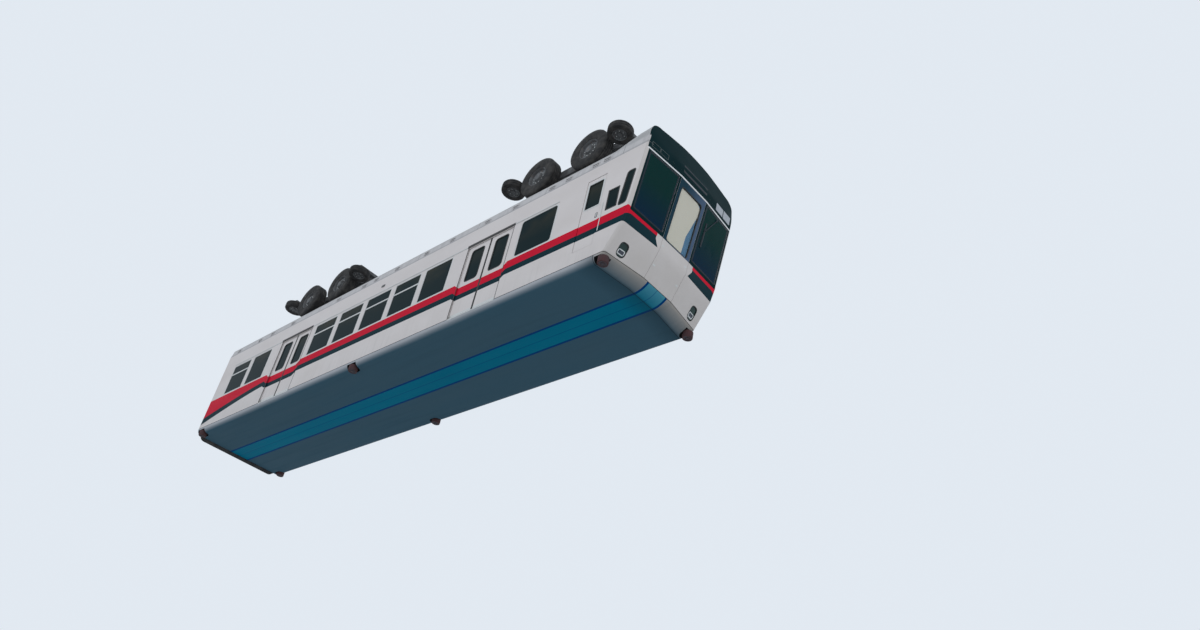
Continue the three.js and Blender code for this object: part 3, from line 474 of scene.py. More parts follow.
for share, over_it in (
    (lit_edge_share, BELLY_EDGE_LIT),
    (nose_painted_light, NOSE_GREY_LIT),
    (slope(streak, 0.56, 0.76, 0.0, 0.10), (0.030, 0.045, 0.058)),
    (below(off_middle, BAND_HALF), NAVY),
    (below(off_middle, BAND_HALF - BAND_EDGE), teal),
    (times(seam_shade, 0.45), (0.010, 0.030, 0.045)),
    (times(below(calc("ABSOLUTE", from_seam), 0.006), 0.8), (0.008, 0.012, 0.016)),
    (above(height, PAN_TOP - 0.007), (0.02, 0.025, 0.03)),
):
    tray = tint(share, tray, over_it)
feed(shader, tray)
feed(shader, slope(streak, 0.3, 0.7, 0.34, 0.55), "Roughness")
relief(shader, cloud(place, 2.2, 2.0, (0.5, 1.0, 1.0)), 0.25, 0.004)

floor_covering, shader, place = finish_material("floor_covering", 0.7)
speckle = node(place.id_data, "TexVoronoi", {"Vector": place, "Scale": 90.0}).outputs["Distance"]
feed(shader, tint(slope(speckle, 0.1, 0.6), (0.30, 0.29, 0.27), (0.18, 0.18, 0.18)))
# The walls of the roller pockets and the draft box are drawn near black: painted shade in these recesses.
pocket_shade = mottled("pocket_shade", 0.8, (0.008, 0.009, 0.011), (0.024, 0.023, 0.024), (12.0, 4.0),
                      specular=0.1)

floor_pan = make_piece("floor_tray", [two_sided(under, over)], [belly_paint, floor_covering, pocket_shade],
                       ["floor_pan"], smooth=40.0)
pocket_r, pocket_long, pocket_h = POCKET
half = pocket_long + pocket_r
pockets = [
    plate(rounded(x - half, x + half, *sided(sign, ROLLER_Y - pocket_r, 1.36), pocket_r, 9), level_face,
          BELLY_Z - 0.05, BELLY_Z + pocket_h, finish=2)
    for x in ROLLER_X for _, sign in SIDES
]
half, h0, h1, deep = DRAFT
pockets.append(plate(rounded(REAR_X - 0.02, REAR_X + deep, -half, half, 0.01), level_face, BELLY_Z + h0,
                     BELLY_Z + h1, finish=2))
carve(floor_pan, pockets)
for face in floor_pan.data.polygons:
    if face.normal.z > 0.9 and face.center.z > BELLY_Z + PAN_TOP - 0.001:
        face.material_index = 1

# Side walls. Welded aluminium panels over a frame, sprayed pale warm grey with a red and a dark
# band along the waist; the bands step down at the doors and sweep down towards the rear end.
SIDE_GREY = (0.680, 0.640, 0.630)
SIDE_RED = (0.62, 0.008, 0.032)
SIDE_DARK = (0.006, 0.030, 0.040)
LINING_CREAM = (0.62, 0.58, 0.48)
# The band's top, middle and bottom: height, drop of its sweep to the rear, drop of its steps
BAND_LINES = ((1.025, -0.02, 0.085), (0.833, -0.37, 0.083), (0.684, -0.42, 0.068))
# Each step: x from, x to, down or up
BAND_STEPS = ((2.83, 2.94, -1), (4.28, 4.39, 1), (-4.47, -4.36, -1), (-3.12, -3.01, 1))
LINING_Y = 1.246
SWEEP_X = -4.45
SWEEP_LONG = 2.91


def repainted(name, finish):
    """Gives a solid of the part, which stays as it is, its finish."""
    for material_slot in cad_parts[name].material_slots:
        material_slot.material = finish


body_paint, shader, place = finish_material("body_paint", 0.34, specular=0.012)
x, _, off_middle, height = facing(place)
sweep = calc("DIVIDE", calc("SUBTRACT", SWEEP_X, x), SWEEP_LONG)
sweep = calc("POWER", calc("MAXIMUM", sweep, 0.0), 1.3)
band = []
for at, drop, step in BAND_LINES:
    line = calc("MULTIPLY_ADD", sweep, drop, at)
    for x0, x1, way in BAND_STEPS:
        line = calc("ADD", line, slope(x, x0, x1, 0.0, way * step))
    band.append(line)
under_top = below(height, band[0])
grime = cloud(place, 1.7, 5.0, (0.6, 0.6, 1.2))
streaks = cloud(place, 5.0, 4.0, (2.6, 2.6, 0.16))
dust = times(slope(height, 0.75, 0.14), slope(streaks, 0.3, 0.7, 0.25, 1.0))
inside = times(below(off_middle, LINING_Y), below(x, 7.02))
colour = tint(slope(grime, 0.35, 0.75), SIDE_GREY, (0.640, 0.598, 0.585))
for share, over_it in (
    (times(dust, 0.16), (0.40, 0.40, 0.39)),
    (times(above(height, band[2]), under_top), SIDE_DARK),
    (times(above(height, band[1]), under_top), tint(grime, SIDE_RED, (0.54, 0.010, 0.034))),
    (times(slope(streaks, 0.57, 0.74, 0.0, 0.07), slope(height, 1.1, 0.2)), (0.22, 0.21, 0.20)),
    (below(height, PAN_TOP + 0.006), (0.03, 0.03, 0.03)),
    (inside, LINING_CREAM),
):
    colour = tint(share, colour, over_it)
feed(shader, colour)
feed(shader, slope(grime, 0.3, 0.7, 0.28, 0.42), "Roughness")
relief(shader, cloud(place, 1.1, 1.0, (1.0, 1.0, 0.5)), 0.35, 0.006)
for side, _ in SIDES:
    repainted("side_wall_" + side, body_paint)

# Window units. Each is an aluminium frame screwed into a shallow seat of the wall, with a black
# rubber gasket and dark tinted glass; some have a hinged upper light with a pale transom.
WINDOWS = (
    # x from, x to, top height, corner radius, transom
    (-6.700, -5.845, 1.928, 0.024, True),
    (-5.645, -4.805, 1.928, 0.024, False),
    (-2.690, -1.825, 1.928, 0.024, True),
    (-1.625, -0.760, 1.928, 0.024, True),
    (-0.560, 0.305, 1.928, 0.024, True),
    (0.505, 1.370, 1.928, 0.024, True),
    (1.570, 2.435, 1.928, 0.024, False),
    (4.545, 5.500, 1.940, 0.060, False),
)
WINDOW_H = 1.068
WINDOW_EDGE = 0.030
WINDOW_SINK = 0.010
TRANSOM_H = 1.640
TRANSOM_TALL = 0.040
HEAD_PANEL_TOP = 1.9917
# Height from and to, how far out
DRIP_RAIL = (1.988, 2.018, 0.008)


def side_wall_face(sign):
    """Surface of one side of the car: a along X, b the height above the belly, depth inwards."""
    return lambda a, b, depth: np.stack([a, sign * (HALF_WIDTH - depth) + 0 * a, BELLY_Z + b], axis=-1)


bright_metal, shader, place = finish_material("window_aluminium", 0.38, metallic=0.75)
brushed = cloud(place, 40.0, 2.0, (0.05, 1.0, 1.0))
feed(shader, tint(brushed, (0.52, 0.53, 0.52), (0.66, 0.67, 0.66)))
feed(shader, slope(brushed, 0.2, 0.8, 0.30, 0.48), "Roughness")

gasket = mottled("gasket_rubber", 0.65, (0.014, 0.015, 0.016), (0.040, 0.040, 0.039), (7.0, 4.0))

tinted_glass, shader, place = finish_material("tinted_glass", 0.06, specular=0.02)
height = facing(place)[3]
# Lighter patches on the upper part of the glass are painted reflection.
glass_reflection_patches = slope(cloud(place, 1.4, 3.0, (1.0, 0.4, 1.5)), 0.40, 0.68)
feed(shader, tint(times(slope(height, 1.35, 1.95), glass_reflection_patches), (0.004, 0.016, 0.019),
                  (0.030, 0.032, 0.024)))
feed(shader, slope(cloud(place, 9.0, 4.0, (1.0, 1.0, 0.4)), 0.35, 0.8, 0.04, 0.16), "Roughness")
relief(shader, cloud(place, 2.5, 1.0), 0.08, 0.004)

for side, sign in SIDES:
    face = side_wall_face(sign)
    rail = rounded(WINDOWS[0][0] - WINDOW_EDGE, WINDOWS[-1][1] + WINDOW_EDGE, *DRIP_RAIL[:2], 0.006, 4)
    shells = [plate(rail, face, -DRIP_RAIL[2], 0.0005, 0.004)]
    for x0, x1, h1, radius, transom in WINDOWS:
        h0 = WINDOW_H
        edge = WINDOW_EDGE - 0.0005
        outer = rounded(x0 - edge, x1 + edge, h0 - edge, h1 + edge, radius + edge, 7)
        opening = rounded(x0, x1, h0, h1, radius, 7)
        back = rounded(x0 - edge, x1 + edge, h0 - edge, HEAD_PANEL_TOP, 0.002, 2)
        hole = rounded(x0 - 0.001, x1 + 0.001, h0 - 0.001, h1 + 0.001, 0.002, 2)
        shells += [
            frame_plate(outer, opening, face, 0.001, WINDOW_SINK, 0.003, 0),
            frame_plate(inset(opening, -0.004), inset(opening, 0.016), face, 0.0035, 0.0095, 0.002, 1),
            plate(inset(opening, 0.010), face, 0.0055, 0.0092, 0.0, (0.5,), 2),
            frame_plate(back, hole, face, 0.0018, 0.0098, 0.0, 3),
        ]
        if transom:
            bar = rounded(x0 + 0.004, x1 - 0.004, TRANSOM_H, TRANSOM_H + TRANSOM_TALL, 0.004, 3)
            seam = rounded(x0 + 0.010, x1 - 0.010, TRANSOM_H - 0.014, TRANSOM_H, 0.003, 3)
            shells.append(plate(bar, face, 0.0012, 0.0080, 0.002))
            shells.append(plate(seam, face, 0.0035, 0.0080, 0.0, (), 1))
    make_piece("side_windows_" + side, shells, [bright_metal, gasket, tinted_glass, body_paint],
               ["window_frames_" + side])

# Passenger doors. Each leaf is a thin bonded aluminium plate with a rounded window in a rubber
# seal and a rubber nosing on its meeting edge; it slides into the pocket beside the opening.
DOOR_X = (("front", 3.61), ("rear", -3.61))
LEAF_OUT = 0.7098
LEAF_GAP = 0.0026
LEAF_SKIN = 0.0281
LEAF_BACK = 0.0619
LEAF_H0 = 0.1512
LEAF_H1 = 1.9838
LEAF_PANE = (0.165, 0.548, 1.045, 1.858, 0.070)

door_rubber = mottled("door_rubber", 0.7, (0.016, 0.016, 0.017), (0.055, 0.054, 0.052),
                      (12.0, 4.0, (1.0, 1.0, 0.3)))
for end, middle in DOOR_X:
    for side, sign in SIDES:
        face = side_wall_face(sign)
        for leaf, way in (("a", 1), ("b", -1)):
            edge = rounded(*sided(way, LEAF_GAP, LEAF_OUT, middle), LEAF_H0, LEAF_H1, 0.004, 8)
            hole = rounded(*sided(way, *LEAF_PANE[:2], middle), *LEAF_PANE[2:], 8)
            seal = (inset(hole, -0.012), inset(hole, 0.014))
            lip = sided(way, LEAF_GAP, 0.026, middle)
            nosing = rounded(*lip, LEAF_H0 + 0.004, LEAF_H1 - 0.004, 0.003, 3)
            kick = sided(way, 0.03, 0.69, middle)
            foot = rounded(*kick, LEAF_H0 + 0.010, LEAF_H0 + 0.085, 0.006, 3)
            shells = [
                frame_plate(edge, hole, face, LEAF_SKIN, LEAF_BACK, 0.0015, 0),
                frame_plate(*seal, face, LEAF_SKIN - 0.002, 0.046, 0.003, 1),
                frame_plate(*seal, face, LEAF_BACK + 0.002, 0.046, 0.003, 1),
                plate(inset(hole, 0.008), face, 0.0415, 0.0485, 0.0, (0.5,), 2),
                plate(nosing, face, LEAF_SKIN - 0.002, LEAF_BACK + 0.001, 0.002, (), 1),
                plate(foot, face, LEAF_SKIN - 0.0012, LEAF_SKIN + 0.004, 0.001, (), 3),
            ]
            name = f"door_{end}_{side}_{leaf}"
            make_piece("leaf_" + name, shells, [body_paint, door_rubber, tinted_glass, bright_metal],
                       [name], name)

# Door surrounds. A dark guide rail is bolted over each opening, an aluminium strip edges the floor
# pan under it, and rubber lips close the slits that the leaves slide through.
DOOR_HALF = 0.685
# Height from and to, how far out
HEAD_RAIL = (1.968, 2.034, 0.0095)
for side, sign in SIDES:
    face = side_wall_face(sign)
    shells = []
    for _, middle in DOOR_X:
        near, far = middle - DOOR_HALF, middle + DOOR_HALF
        head = rounded(near - 0.03, far + 0.03, *HEAD_RAIL[:2], 0.008, 4)
        sill = rounded(near + 0.01, far - 0.01, PAN_TOP - 0.028, PAN_TOP - 0.004, 0.004, 3)
        shells.append(plate(head, face, -HEAD_RAIL[2], 0.002, 0.005))
        shells.append(plate(sill, face, -0.003, 0.012, 0.002, (), 1))
        for way in (-1, 1):
            jamb = sided(way, DOOR_HALF - 0.003, DOOR_HALF + 0.012, middle)
            lip = rounded(*jamb, PAN_TOP + 0.012, 1.960, 0.004, 3)
            shells.append(plate(lip, face, -0.002, 0.008, 0.002))
    make_piece("door_surrounds_" + side, shells, [door_rubber, bright_metal])

# Crew doors. A narrow hinged door of painted aluminium on two steel pins, with one window in a pale
# screwed frame and a recessed handle at its front edge.
CREW_EDGE = (6.240, 6.695, 0.440, 2.120)
CREW_SKIN = 0.0052
CREW_BACK = 0.0448
CREW_PANE = (6.290, 6.650, 1.400, 2.020, 0.025)
CREW_HANDLE = (6.610, 6.668, 1.080, 1.200)
# The hinge's x and y, and height from and to of its two pins
CREW_HINGE = (6.250, 1.255)
CREW_PINS = ((0.4102, 0.445), (2.115, 2.1498))


def circle(count, turn=0.0):
    """Unit circle of count points as two columns."""
    angle = np.linspace(0.0, 2 * math.pi, count, endpoint=False) + turn
    return np.stack([np.cos(angle), np.sin(angle)], axis=1)


def turned(axis, spot, line, count, finish=0, start=0.0, close=stacked):
    """A solid turned about an axis (0, 1, 2 for X, Y, Z) through a spot of the other two: each point
    of the line is a radius and a distance from the start; closed as ringed, it is a hollow ring."""
    loops = [np.insert(np.array(spot) + r * circle(count), axis, start + t, axis=1) for r, t in line]
    return close(loops, finish)


def rod(axis, spot, low, high, radius, count=40, finish=0, bevel=0.0):
    """A cylinder from low to high along an axis, whose two edges are eased by a small bevel."""
    line = [(radius - bevel, low), (radius, low + bevel), (radius, high - bevel), (radius - bevel, high)]
    return turned(axis, spot, line, count, finish)


for side, sign in SIDES:
    face = side_wall_face(sign)
    hole = rounded(*CREW_PANE, 5)
    handle = rounded(*CREW_HANDLE, 0.012, 4)
    shells = [
        frame_plate(rounded(*CREW_EDGE, 0.006, 5), hole, face, CREW_SKIN, CREW_BACK, 0.002, 0),
        frame_plate(inset(hole, -0.026), inset(hole, 0.004), face, CREW_SKIN - 0.0035, 0.022, 0.002, 1),
        frame_plate(inset(hole, 0.002), inset(hole, 0.016), face, CREW_SKIN + 0.001, 0.026, 0.002, 2),
        plate(inset(hole, 0.010), face, 0.0215, 0.0285, 0.0, (0.5,), 3),
        plate(handle, face, CREW_SKIN - 0.001, CREW_SKIN + 0.006, 0.001, (), 2),
        plate(inset(handle, 0.014), face, CREW_SKIN - 0.004, CREW_SKIN, 0.001, (), 1),
    ]
    for h0, h1 in CREW_PINS:
        shells.append(rod(2, (CREW_HINGE[0], sign * CREW_HINGE[1]), BELLY_Z + h0, BELLY_Z + h1, 0.0078, 16,
                          1, 0.001))
    name = "crew_door_" + side
    make_piece("leaf_" + name, shells, [body_paint, bright_metal, gasket, tinted_glass],
               [name], name)

# Cab side windows. The small pane behind the corner and the leaning corner pane are bonded into
# the wall's openings with a broad black rubber section.
CAB_PANES = (
    # x from, x to, height from, height to, corner radius, lean about the middle height
    (6.850, 7.110, 1.140, 1.616, 0.012, 0.0),
    (7.190, 7.385, 1.112, 1.886, 0.060, 0.125),
)
for side, sign in SIDES:
    face = side_wall_face(sign)
    shells = []
    for x0, x1, h0, h1, radius, lean in CAB_PANES:
        edge = rounded(x0, x1, h0, h1, radius, 7)
        edge[:, 0] += lean * (edge[:, 1] - (h0 + h1) / 2)
        shells.append(frame_plate(inset(edge, -0.008), inset(edge, 0.022), face, -0.0025, 0.020, 0.004))
        shells.append(plate(inset(edge, 0.012), face, 0.006, 0.012, 0.0, (0.5,), 1))
    make_piece("cab_side_windows_" + side, shells, [gasket, tinted_glass])

# Side lamps and grab rails. A small dark lamp housing is screwed on above the windows in the
# middle of the car, and a flat bent steel rail for climbing in stands ahead of the crew door.
SIDE_LAMP = (-0.185, -0.055, 2.140, 2.205)
GRAB_RAIL_X = 6.765
GRAB_RAIL_H = (0.72, 1.36)
GRAB_RAIL_OUT = 0.0055


def carried(profile, path, finish=0, up=(0.0, 0.0, 1.0)):
    """A profile (columns to the side and up) carried along a path: at each point it stands square
    to the mean of the two steps of the path that meet there."""
    path = np.asarray(path, float)
    run = np.gradient(path, axis=0)
    run /= np.linalg.norm(run, axis=1, keepdims=True)
    aside = np.cross(run, up)
    aside /= np.linalg.norm(aside, axis=1, keepdims=True)
    rise = np.cross(aside, run)
    return stacked([p + profile[:, :1] * a + profile[:, 1:] * r for p, a, r in zip(path, aside, rise)],
                   finish)


def bent(corners, radius, steps=6):
    """A path through corner points whose bends are eased by quadratic curves of the given reach."""
    corners = np.asarray(corners, float)
    share = np.linspace(0.0, 1.0, steps)[:, None]
    points = [corners[:1]]
    for a, b, c in zip(corners, corners[1:], corners[2:]):
        into = b + (a - b) / np.linalg.norm(a - b) * radius
        out = b + (c - b) / np.linalg.norm(c - b) * radius
        points.append((1 - share) ** 2 * into + 2 * share * (1 - share) * b + share**2 * out)
    return np.concatenate(points + [corners[-1:]])


lamp_dark = mottled("lamp_dark", 0.25, (0.014, 0.016, 0.018), (0.040, 0.040, 0.042), (30.0,))
for side, sign in SIDES:
    wall_y, out_y = sign * HALF_WIDTH, sign * (HALF_WIDTH + GRAB_RAIL_OUT)
    z0, z1 = (BELLY_Z + h for h in GRAB_RAIL_H)
    path = bent([(GRAB_RAIL_X, y, z) for y, z in ((wall_y, z0), (out_y, z0), (out_y, z1), (wall_y, z1))],
                0.004)
    make_piece("side_fittings_" + side, [
        plate(rounded(*SIDE_LAMP, 0.02, 6), side_wall_face(sign), -0.0095, 0.004, 0.005),
        carried(circle(12) * (0.004, 0.010), path, 1, (1.0, 0.0, 0.0)),
    ], [lamp_dark, bright_metal])

# Roof. A welded aluminium shell with a nearly upright vent band, rounded shoulders and a slightly
# crowned top, painted the body's grey, sooty on top, its vent band drawn darker as painted shadow;
# the ceiling vault is cut out of its underside.
ROOF_H0 = 2.4403
ROOF_X1 = 6.7397
# Height of the band, its lean, height of the top, crown of the top, reach of the shoulders
ROOF_FORM = (2.620, 0.028, 2.770, 0.030, 0.200)
# The ceiling vault's half width, its height from and to, its corners, and x from and to
VAULT = (0.960, 2.24, 2.610, 0.120)
VAULT_X = (-7.280, 5.900)
VENT_X = (
    -6.94, -5.84, -5.19, -4.19, -2.13, -1.08, -0.58, 0.22,
    1.29, 2.17, 3.29, 4.14, 5.16, 5.62, 6.31, 6.60,
)
# Half length, height from and to, depth
VENT = (0.085, 2.500, 2.576, 0.014)
VENT_LEAN = 0.012


def roof_outline(band, band_in, top, crown, shoulder):
    """Closed roof section as columns y, h: leaning band, shoulder as a quadratic curve, top crowned
    as one minus the share of the half width to the power 1.6, then the flat underside."""
    share = np.linspace(0.0, 1.0, 12)[:, None]
    a = np.array((HALF_WIDTH - band_in, band))
    b = np.array((HALF_WIDTH - band_in - 0.008, top))
    c = np.array((HALF_WIDTH - band_in - shoulder, top))
    curve = (1 - share) ** 2 * a + 2 * share * (1 - share) * b + share**2 * c
    flank = np.concatenate([np.linspace((HALF_WIDTH, ROOF_H0), a, 4)[:-1], curve])
    over = np.linspace(c[0], -c[0], 23)[1:-1]
    ridge = np.column_stack([over, top + crown * (1.0 - np.abs(over / c[0]) ** 1.6)])
    base = np.column_stack([np.linspace(-HALF_WIDTH, HALF_WIDTH, 24)[1:-1], np.full(22, ROOF_H0)])
    return np.concatenate([flank, ridge, (flank * (-1, 1))[::-1], base])


def drawn_out(outline, axis, stations, finish=0, lift=BELLY_Z):
    """Closed shell of an outline, its second column lifted, set square to an axis at each station."""
    return stacked([np.insert(outline + (0.0, lift), axis, at, axis=1) for at in stations], finish)


def block(x0, x1, y0, y1, z0, z1, radius=0.006, bevel=0.004, finish=0):
    """A box with rounded upright edges and eased top and bottom edges."""
    return plate(rounded(x0, x1, y0, y1, radius, 3), level_face, z0, z1, bevel, (), finish)


roof_paint, shader, place = finish_material("roof_paint", 0.5)
x, _, off_middle, height = facing(place)
runs = slope(cloud(place, 6.0, 4.0, (2.0, 2.0, 0.2)), 0.4, 0.72, 0.0, 0.45)
# The vent band is drawn darker than the body's grey, as the painted shadow of the track girder, with
# darker runs.
band = tint(runs, (0.50, 0.485, 0.49), (0.32, 0.31, 0.32))
soot = slope(cloud(place, 2.0, 5.0, (0.4, 1.0, 1.0)), 0.35, 0.7)
colour = tint(slope(height, 2.60, 2.66), band, tint(soot, (0.46, 0.455, 0.45), (0.34, 0.34, 0.345)))
# A darker strip at the foot of the band, under the vents, is painted shade.
colour = tint(slope(height, 2.500, 2.478, 0.0, 0.42), colour, (0.20, 0.20, 0.21))
joint_rows = calc("ABSOLUTE", calc("SUBTRACT", calc("FRACT", times(x, 0.5)), 0.5))
colour = tint(below(joint_rows, 0.003), colour, (0.18, 0.18, 0.18))
hidden = times(below(height, 2.615), below(off_middle, 0.975))
feed(shader, tint(hidden, colour, LINING_CREAM))
relief(shader, cloud(place, 3.0, 2.0), 0.2, 0.004)
# Near black as painted shade: vent recesses, ceiling vault, headlamp recesses, grille backs and fan
# openings.
recess_shade = mottled("recess_shade", 0.8, (0.022, 0.022, 0.024), (0.055, 0.053, 0.050), (20.0,), specular=0.1)

roof_shell = drawn_out(roof_outline(*ROOF_FORM), 0, np.linspace(REAR_X, ROOF_X1, 24))
roof = make_piece("roof_shell", [roof_shell], [roof_paint, recess_shade], ["roof"])
vent_half, vent_h0, vent_h1, vent_deep = VENT
vent_y = HALF_WIDTH - ROOF_FORM[1] / 2 - vent_deep
cuts = [drawn_out(rounded(-VAULT[0], *VAULT, 8), 0, VAULT_X)]
for x in VENT_X:
    for _, sign in SIDES:
        cuts.append(block(x - vent_half, x + vent_half, *sided(sign, vent_y, HALF_WIDTH + 0.02),
                          BELLY_Z + vent_h0, BELLY_Z + vent_h1, 0.0, 0.0))
# The cut faces of the vents and the ceiling vault take the near black of painted shade.
carve(roof, [(*joined(cuts)[:2], 1)])

# Vents. Each recess in the band is drawn near black, as painted shade, behind a thin pressed aluminium
# frame with a divider across its middle; the frames are riveted on and painted with the roof.
shells = []
for x in VENT_X:
    for _, sign in SIDES:
        face = side_wall_face(sign)
        far, near = vent_half + 0.010, vent_half - 0.004
        middle = (vent_h0 + vent_h1) / 2
        rim = rounded(x - far, x + far, vent_h0 - 0.010, vent_h1 + 0.010, 0.006, 3)
        hole = rounded(x - near, x + near, vent_h0 + 0.004, vent_h1 - 0.004, 0.004, 3)
        divider = rounded(x - near, x + near, middle - 0.012, middle + 0.012, 0.002, 3)
        shells.append(frame_plate(rim, hole, face, VENT_LEAN - 0.006, VENT_LEAN + 0.006, 0.002))
        shells.append(plate(divider, face, VENT_LEAN - 0.004, VENT_LEAN + 0.014, 0.001))
make_piece("vent_grilles", shells, [roof_paint])

# Gallows. Welded steel plate brackets that carry the body, bolted to a foot across the roof; their
# upper flanges reach inwards over the yoke and rest on the air springs, and ribs stiffen the posts.
GALLOWS_X = (4.5, -4.5)
# Half length of a post, y from and to, its top
GALLOWS_POST = (0.215, 0.660, 0.720, -0.090)
# Half length, half width, how far its top stands over the roof
PLINTH = (3.450, 0.860, 0.008)
ROOF_TOP_Z = BELLY_Z + 2.8
steel_paint, shader, place = finish_material("steel_paint", 0.55, metallic=0.2)
oil = cloud(place, 6.0, 5.0)
rust = cloud(place, 14.0, 6.0)
metal = tint(slope(oil, 0.35, 0.7), (0.115, 0.12, 0.125), (0.060, 0.060, 0.062))
feed(shader, tint(slope(rust, 0.58, 0.74, 0.0, 0.6), metal, (0.13, 0.055, 0.025)))
feed(shader, slope(oil, 0.3, 0.7, 0.42, 0.68), "Roughness")
relief(shader, rust, 0.3, 0.002)

z = ROOF_TOP_Z
long, wide, lift = PLINTH
half, near_y, far_y, top_z = GALLOWS_POST
rib = np.array([(far_y, z + 0.035), (far_y + 0.038, z + 0.035), (far_y + 0.030, top_z - 0.06),
                (far_y, top_z - 0.01)])
shells = [block(-long, long, -wide, wide, z - 0.055, z + lift, 0.01, 0.002, 1)]
for x in GALLOWS_X:
    shells.append(block(x - 0.30, x + 0.30, -0.76, 0.76, z - 0.055, z + 0.040, 0.01))
    for _, sign in SIDES:
        post = (x - half, x + half, *sided(sign, near_y, far_y), z + 0.03, top_z - 0.02)
        flange = (x - half, x + half, *sided(sign, 0.25, far_y), top_z - 0.040, top_z)
        shells += [block(*post, 0.006, 0.003), block(*flange, 0.01)]
        for dx in (-0.19, 0.0, 0.19):
            shells.append(drawn_out(rib * (sign, 1), 0, (x + dx - 0.008, x + dx + 0.008), lift=0.0))
        for dx in (-0.26, 0.26):
            for y in (0.60, 0.72):
                shells.append(rod(2, (x + dx, sign * y), z + 0.038, z + 0.056, 0.018, 6, 0, 0.002))
make_piece("gallows", shells, [steel_paint, roof_paint])

# Front fairing. A moulded cover over the cab roof that rises from the roof's section to the tall
# front panel; its face is glossy black, and its sides and top are painted like the roof.
FAIRING_STATIONS = np.array([
    # x, then the roof form's five sizes there
    (6.740, 2.620, 0.028, 2.770, 0.030, 0.200),
    (7.050, 2.650, 0.024, 2.880, 0.050, 0.230),
    (7.350, 2.690, 0.018, 2.960, 0.080, 0.260),
    (7.720, 2.700, 0.014, 3.000, 0.100, 0.290),
])
FAIRING_X = (6.740, 7.660)
FAIRING_MIDDLE = (0.0, 2.72)
FACE_BLACK = (0.004, 0.018, 0.021)

face_black, shader, place = finish_material("face_black", 0.16, specular=0.01)
haze = cloud(place, 3.0, 4.0)
feed(shader, tint(haze, FACE_BLACK, (0.007, 0.026, 0.030)))
feed(shader, slope(haze, 0.3, 0.7, 0.10, 0.22), "Roughness")


def front_face(a, b, depth):
    """Surface of the front end: a along Y, b the height above the belly, depth backwards."""
    return np.stack([front_x(np.minimum(np.abs(a), HALF_WIDTH - 1e-6), b, depth), a, BELLY_Z + b],
                    axis=-1)


rows = []
for share in np.linspace(0.0, 1.0, 16):
    at = FAIRING_X[0] + share * (FAIRING_X[1] - FAIRING_X[0])
    places, *forms = FAIRING_STATIONS.T
    line = roof_outline(*[np.interp(at, places, form) for form in forms])
    row = front_face(line[:, 0], line[:, 1], 0.0)
    row[:, 0] = FAIRING_X[0] + share * (row[:, 0] - FAIRING_X[0])
    rows.append(row)
for near in (0.985, 0.975, 0.8, 0.6, 0.4, 0.2, 0.05):
    ring = FAIRING_MIDDLE + (line - FAIRING_MIDDLE) * near
    rows.append(front_face(ring[:, 0], ring[:, 1], 0.0))
fairing = make_piece("front_fairing", [stacked(rows)], [roof_paint, face_black],
                     ["roof_fairing"], smooth=38.0)
for face in fairing.data.polygons:
    if face.normal.x > 0.75:
        face.material_index = 1

# Front panel. A moulded shell wrapped onto the sides, painted grey with the red and dark bands of
# the sides carried round its corners; its upper part is a black surround for the windscreens.
SCREEN = (0.425, 1.205, 1.005, 2.275)
ESCAPE_HALF = 0.380
ESCAPE_TOP = 2.290
FRONT_GREY = (0.600, 0.565, 0.550)
LAMP_Y = 1.000
# Height from and to of a headlamp's recess, half its width, its corners
LAMP_H = (0.185, 0.435)
LAMP_HALF = 0.095
LAMP_R = 0.070
SHELL_THICK = 0.100
# Height that the black surround starts at, its half width; height from and to of the trim over it
SURROUND = (0.940, 1.245)
TRIM_STRIP = (2.300, 2.330)
CAP_HALF = 1.272
PANEL_H = (0.1503, 0.30, 0.45, 0.60, 0.69, 0.78, 0.87, 0.94, 0.96)
FRONT_H = (*PANEL_H, 1.2, 1.5, 1.8, 2.1, 2.30, 2.32, 2.33, 2.44)
DOOR_H = (*PANEL_H, 1.3, 1.7, 2.1, ESCAPE_TOP)

front_paint, shader, place = finish_material("front_paint", 0.30, specular=0.05)
_, _, off_middle, height = facing(place)
grime = cloud(place, 1.9, 5.0)
streaks = cloud(place, 5.0, 4.0, (2.6, 2.6, 0.16))
dust = times(slope(height, 0.60, 0.14), slope(streaks, 0.3, 0.7, 0.2, 1.0))
round_corner = slope(off_middle, 1.19, 1.288)
red_bottom = calc("MULTIPLY_ADD", round_corner, -0.035, 0.878)
red_top = calc("MULTIPLY_ADD", round_corner, 0.085, 0.942)
slant = slope(height, 0.684, 0.827, 0.442, 0.531)
dark_band = times(above(height, 0.684), below(height, red_bottom))
red_band = times(above(height, red_bottom), below(height, red_top))
colour = tint(slope(grime, 0.35, 0.75), FRONT_GREY, (0.560, 0.525, 0.505))
colour = tint(times(dust, 0.22), colour, (0.42, 0.41, 0.40))
colour = tint(times(dark_band, above(off_middle, slant)), colour, SIDE_DARK)
feed(shader, tint(times(red_band, above(off_middle, 0.52)), colour, SIDE_RED))
feed(shader, slope(grime, 0.3, 0.7, 0.20, 0.34), "Roughness")
pale_trim = mottled("pale_trim", 0.35, (0.80, 0.80, 0.80), (0.66, 0.67, 0.68), (6.0, 4.0), specular=0.3)


def straight_face(a, b, depth):
    """A surface square to the car: a along Y, b the height above the belly, depth along X."""
    return np.stack([depth + 0 * a, a, BELLY_Z + b], axis=-1)


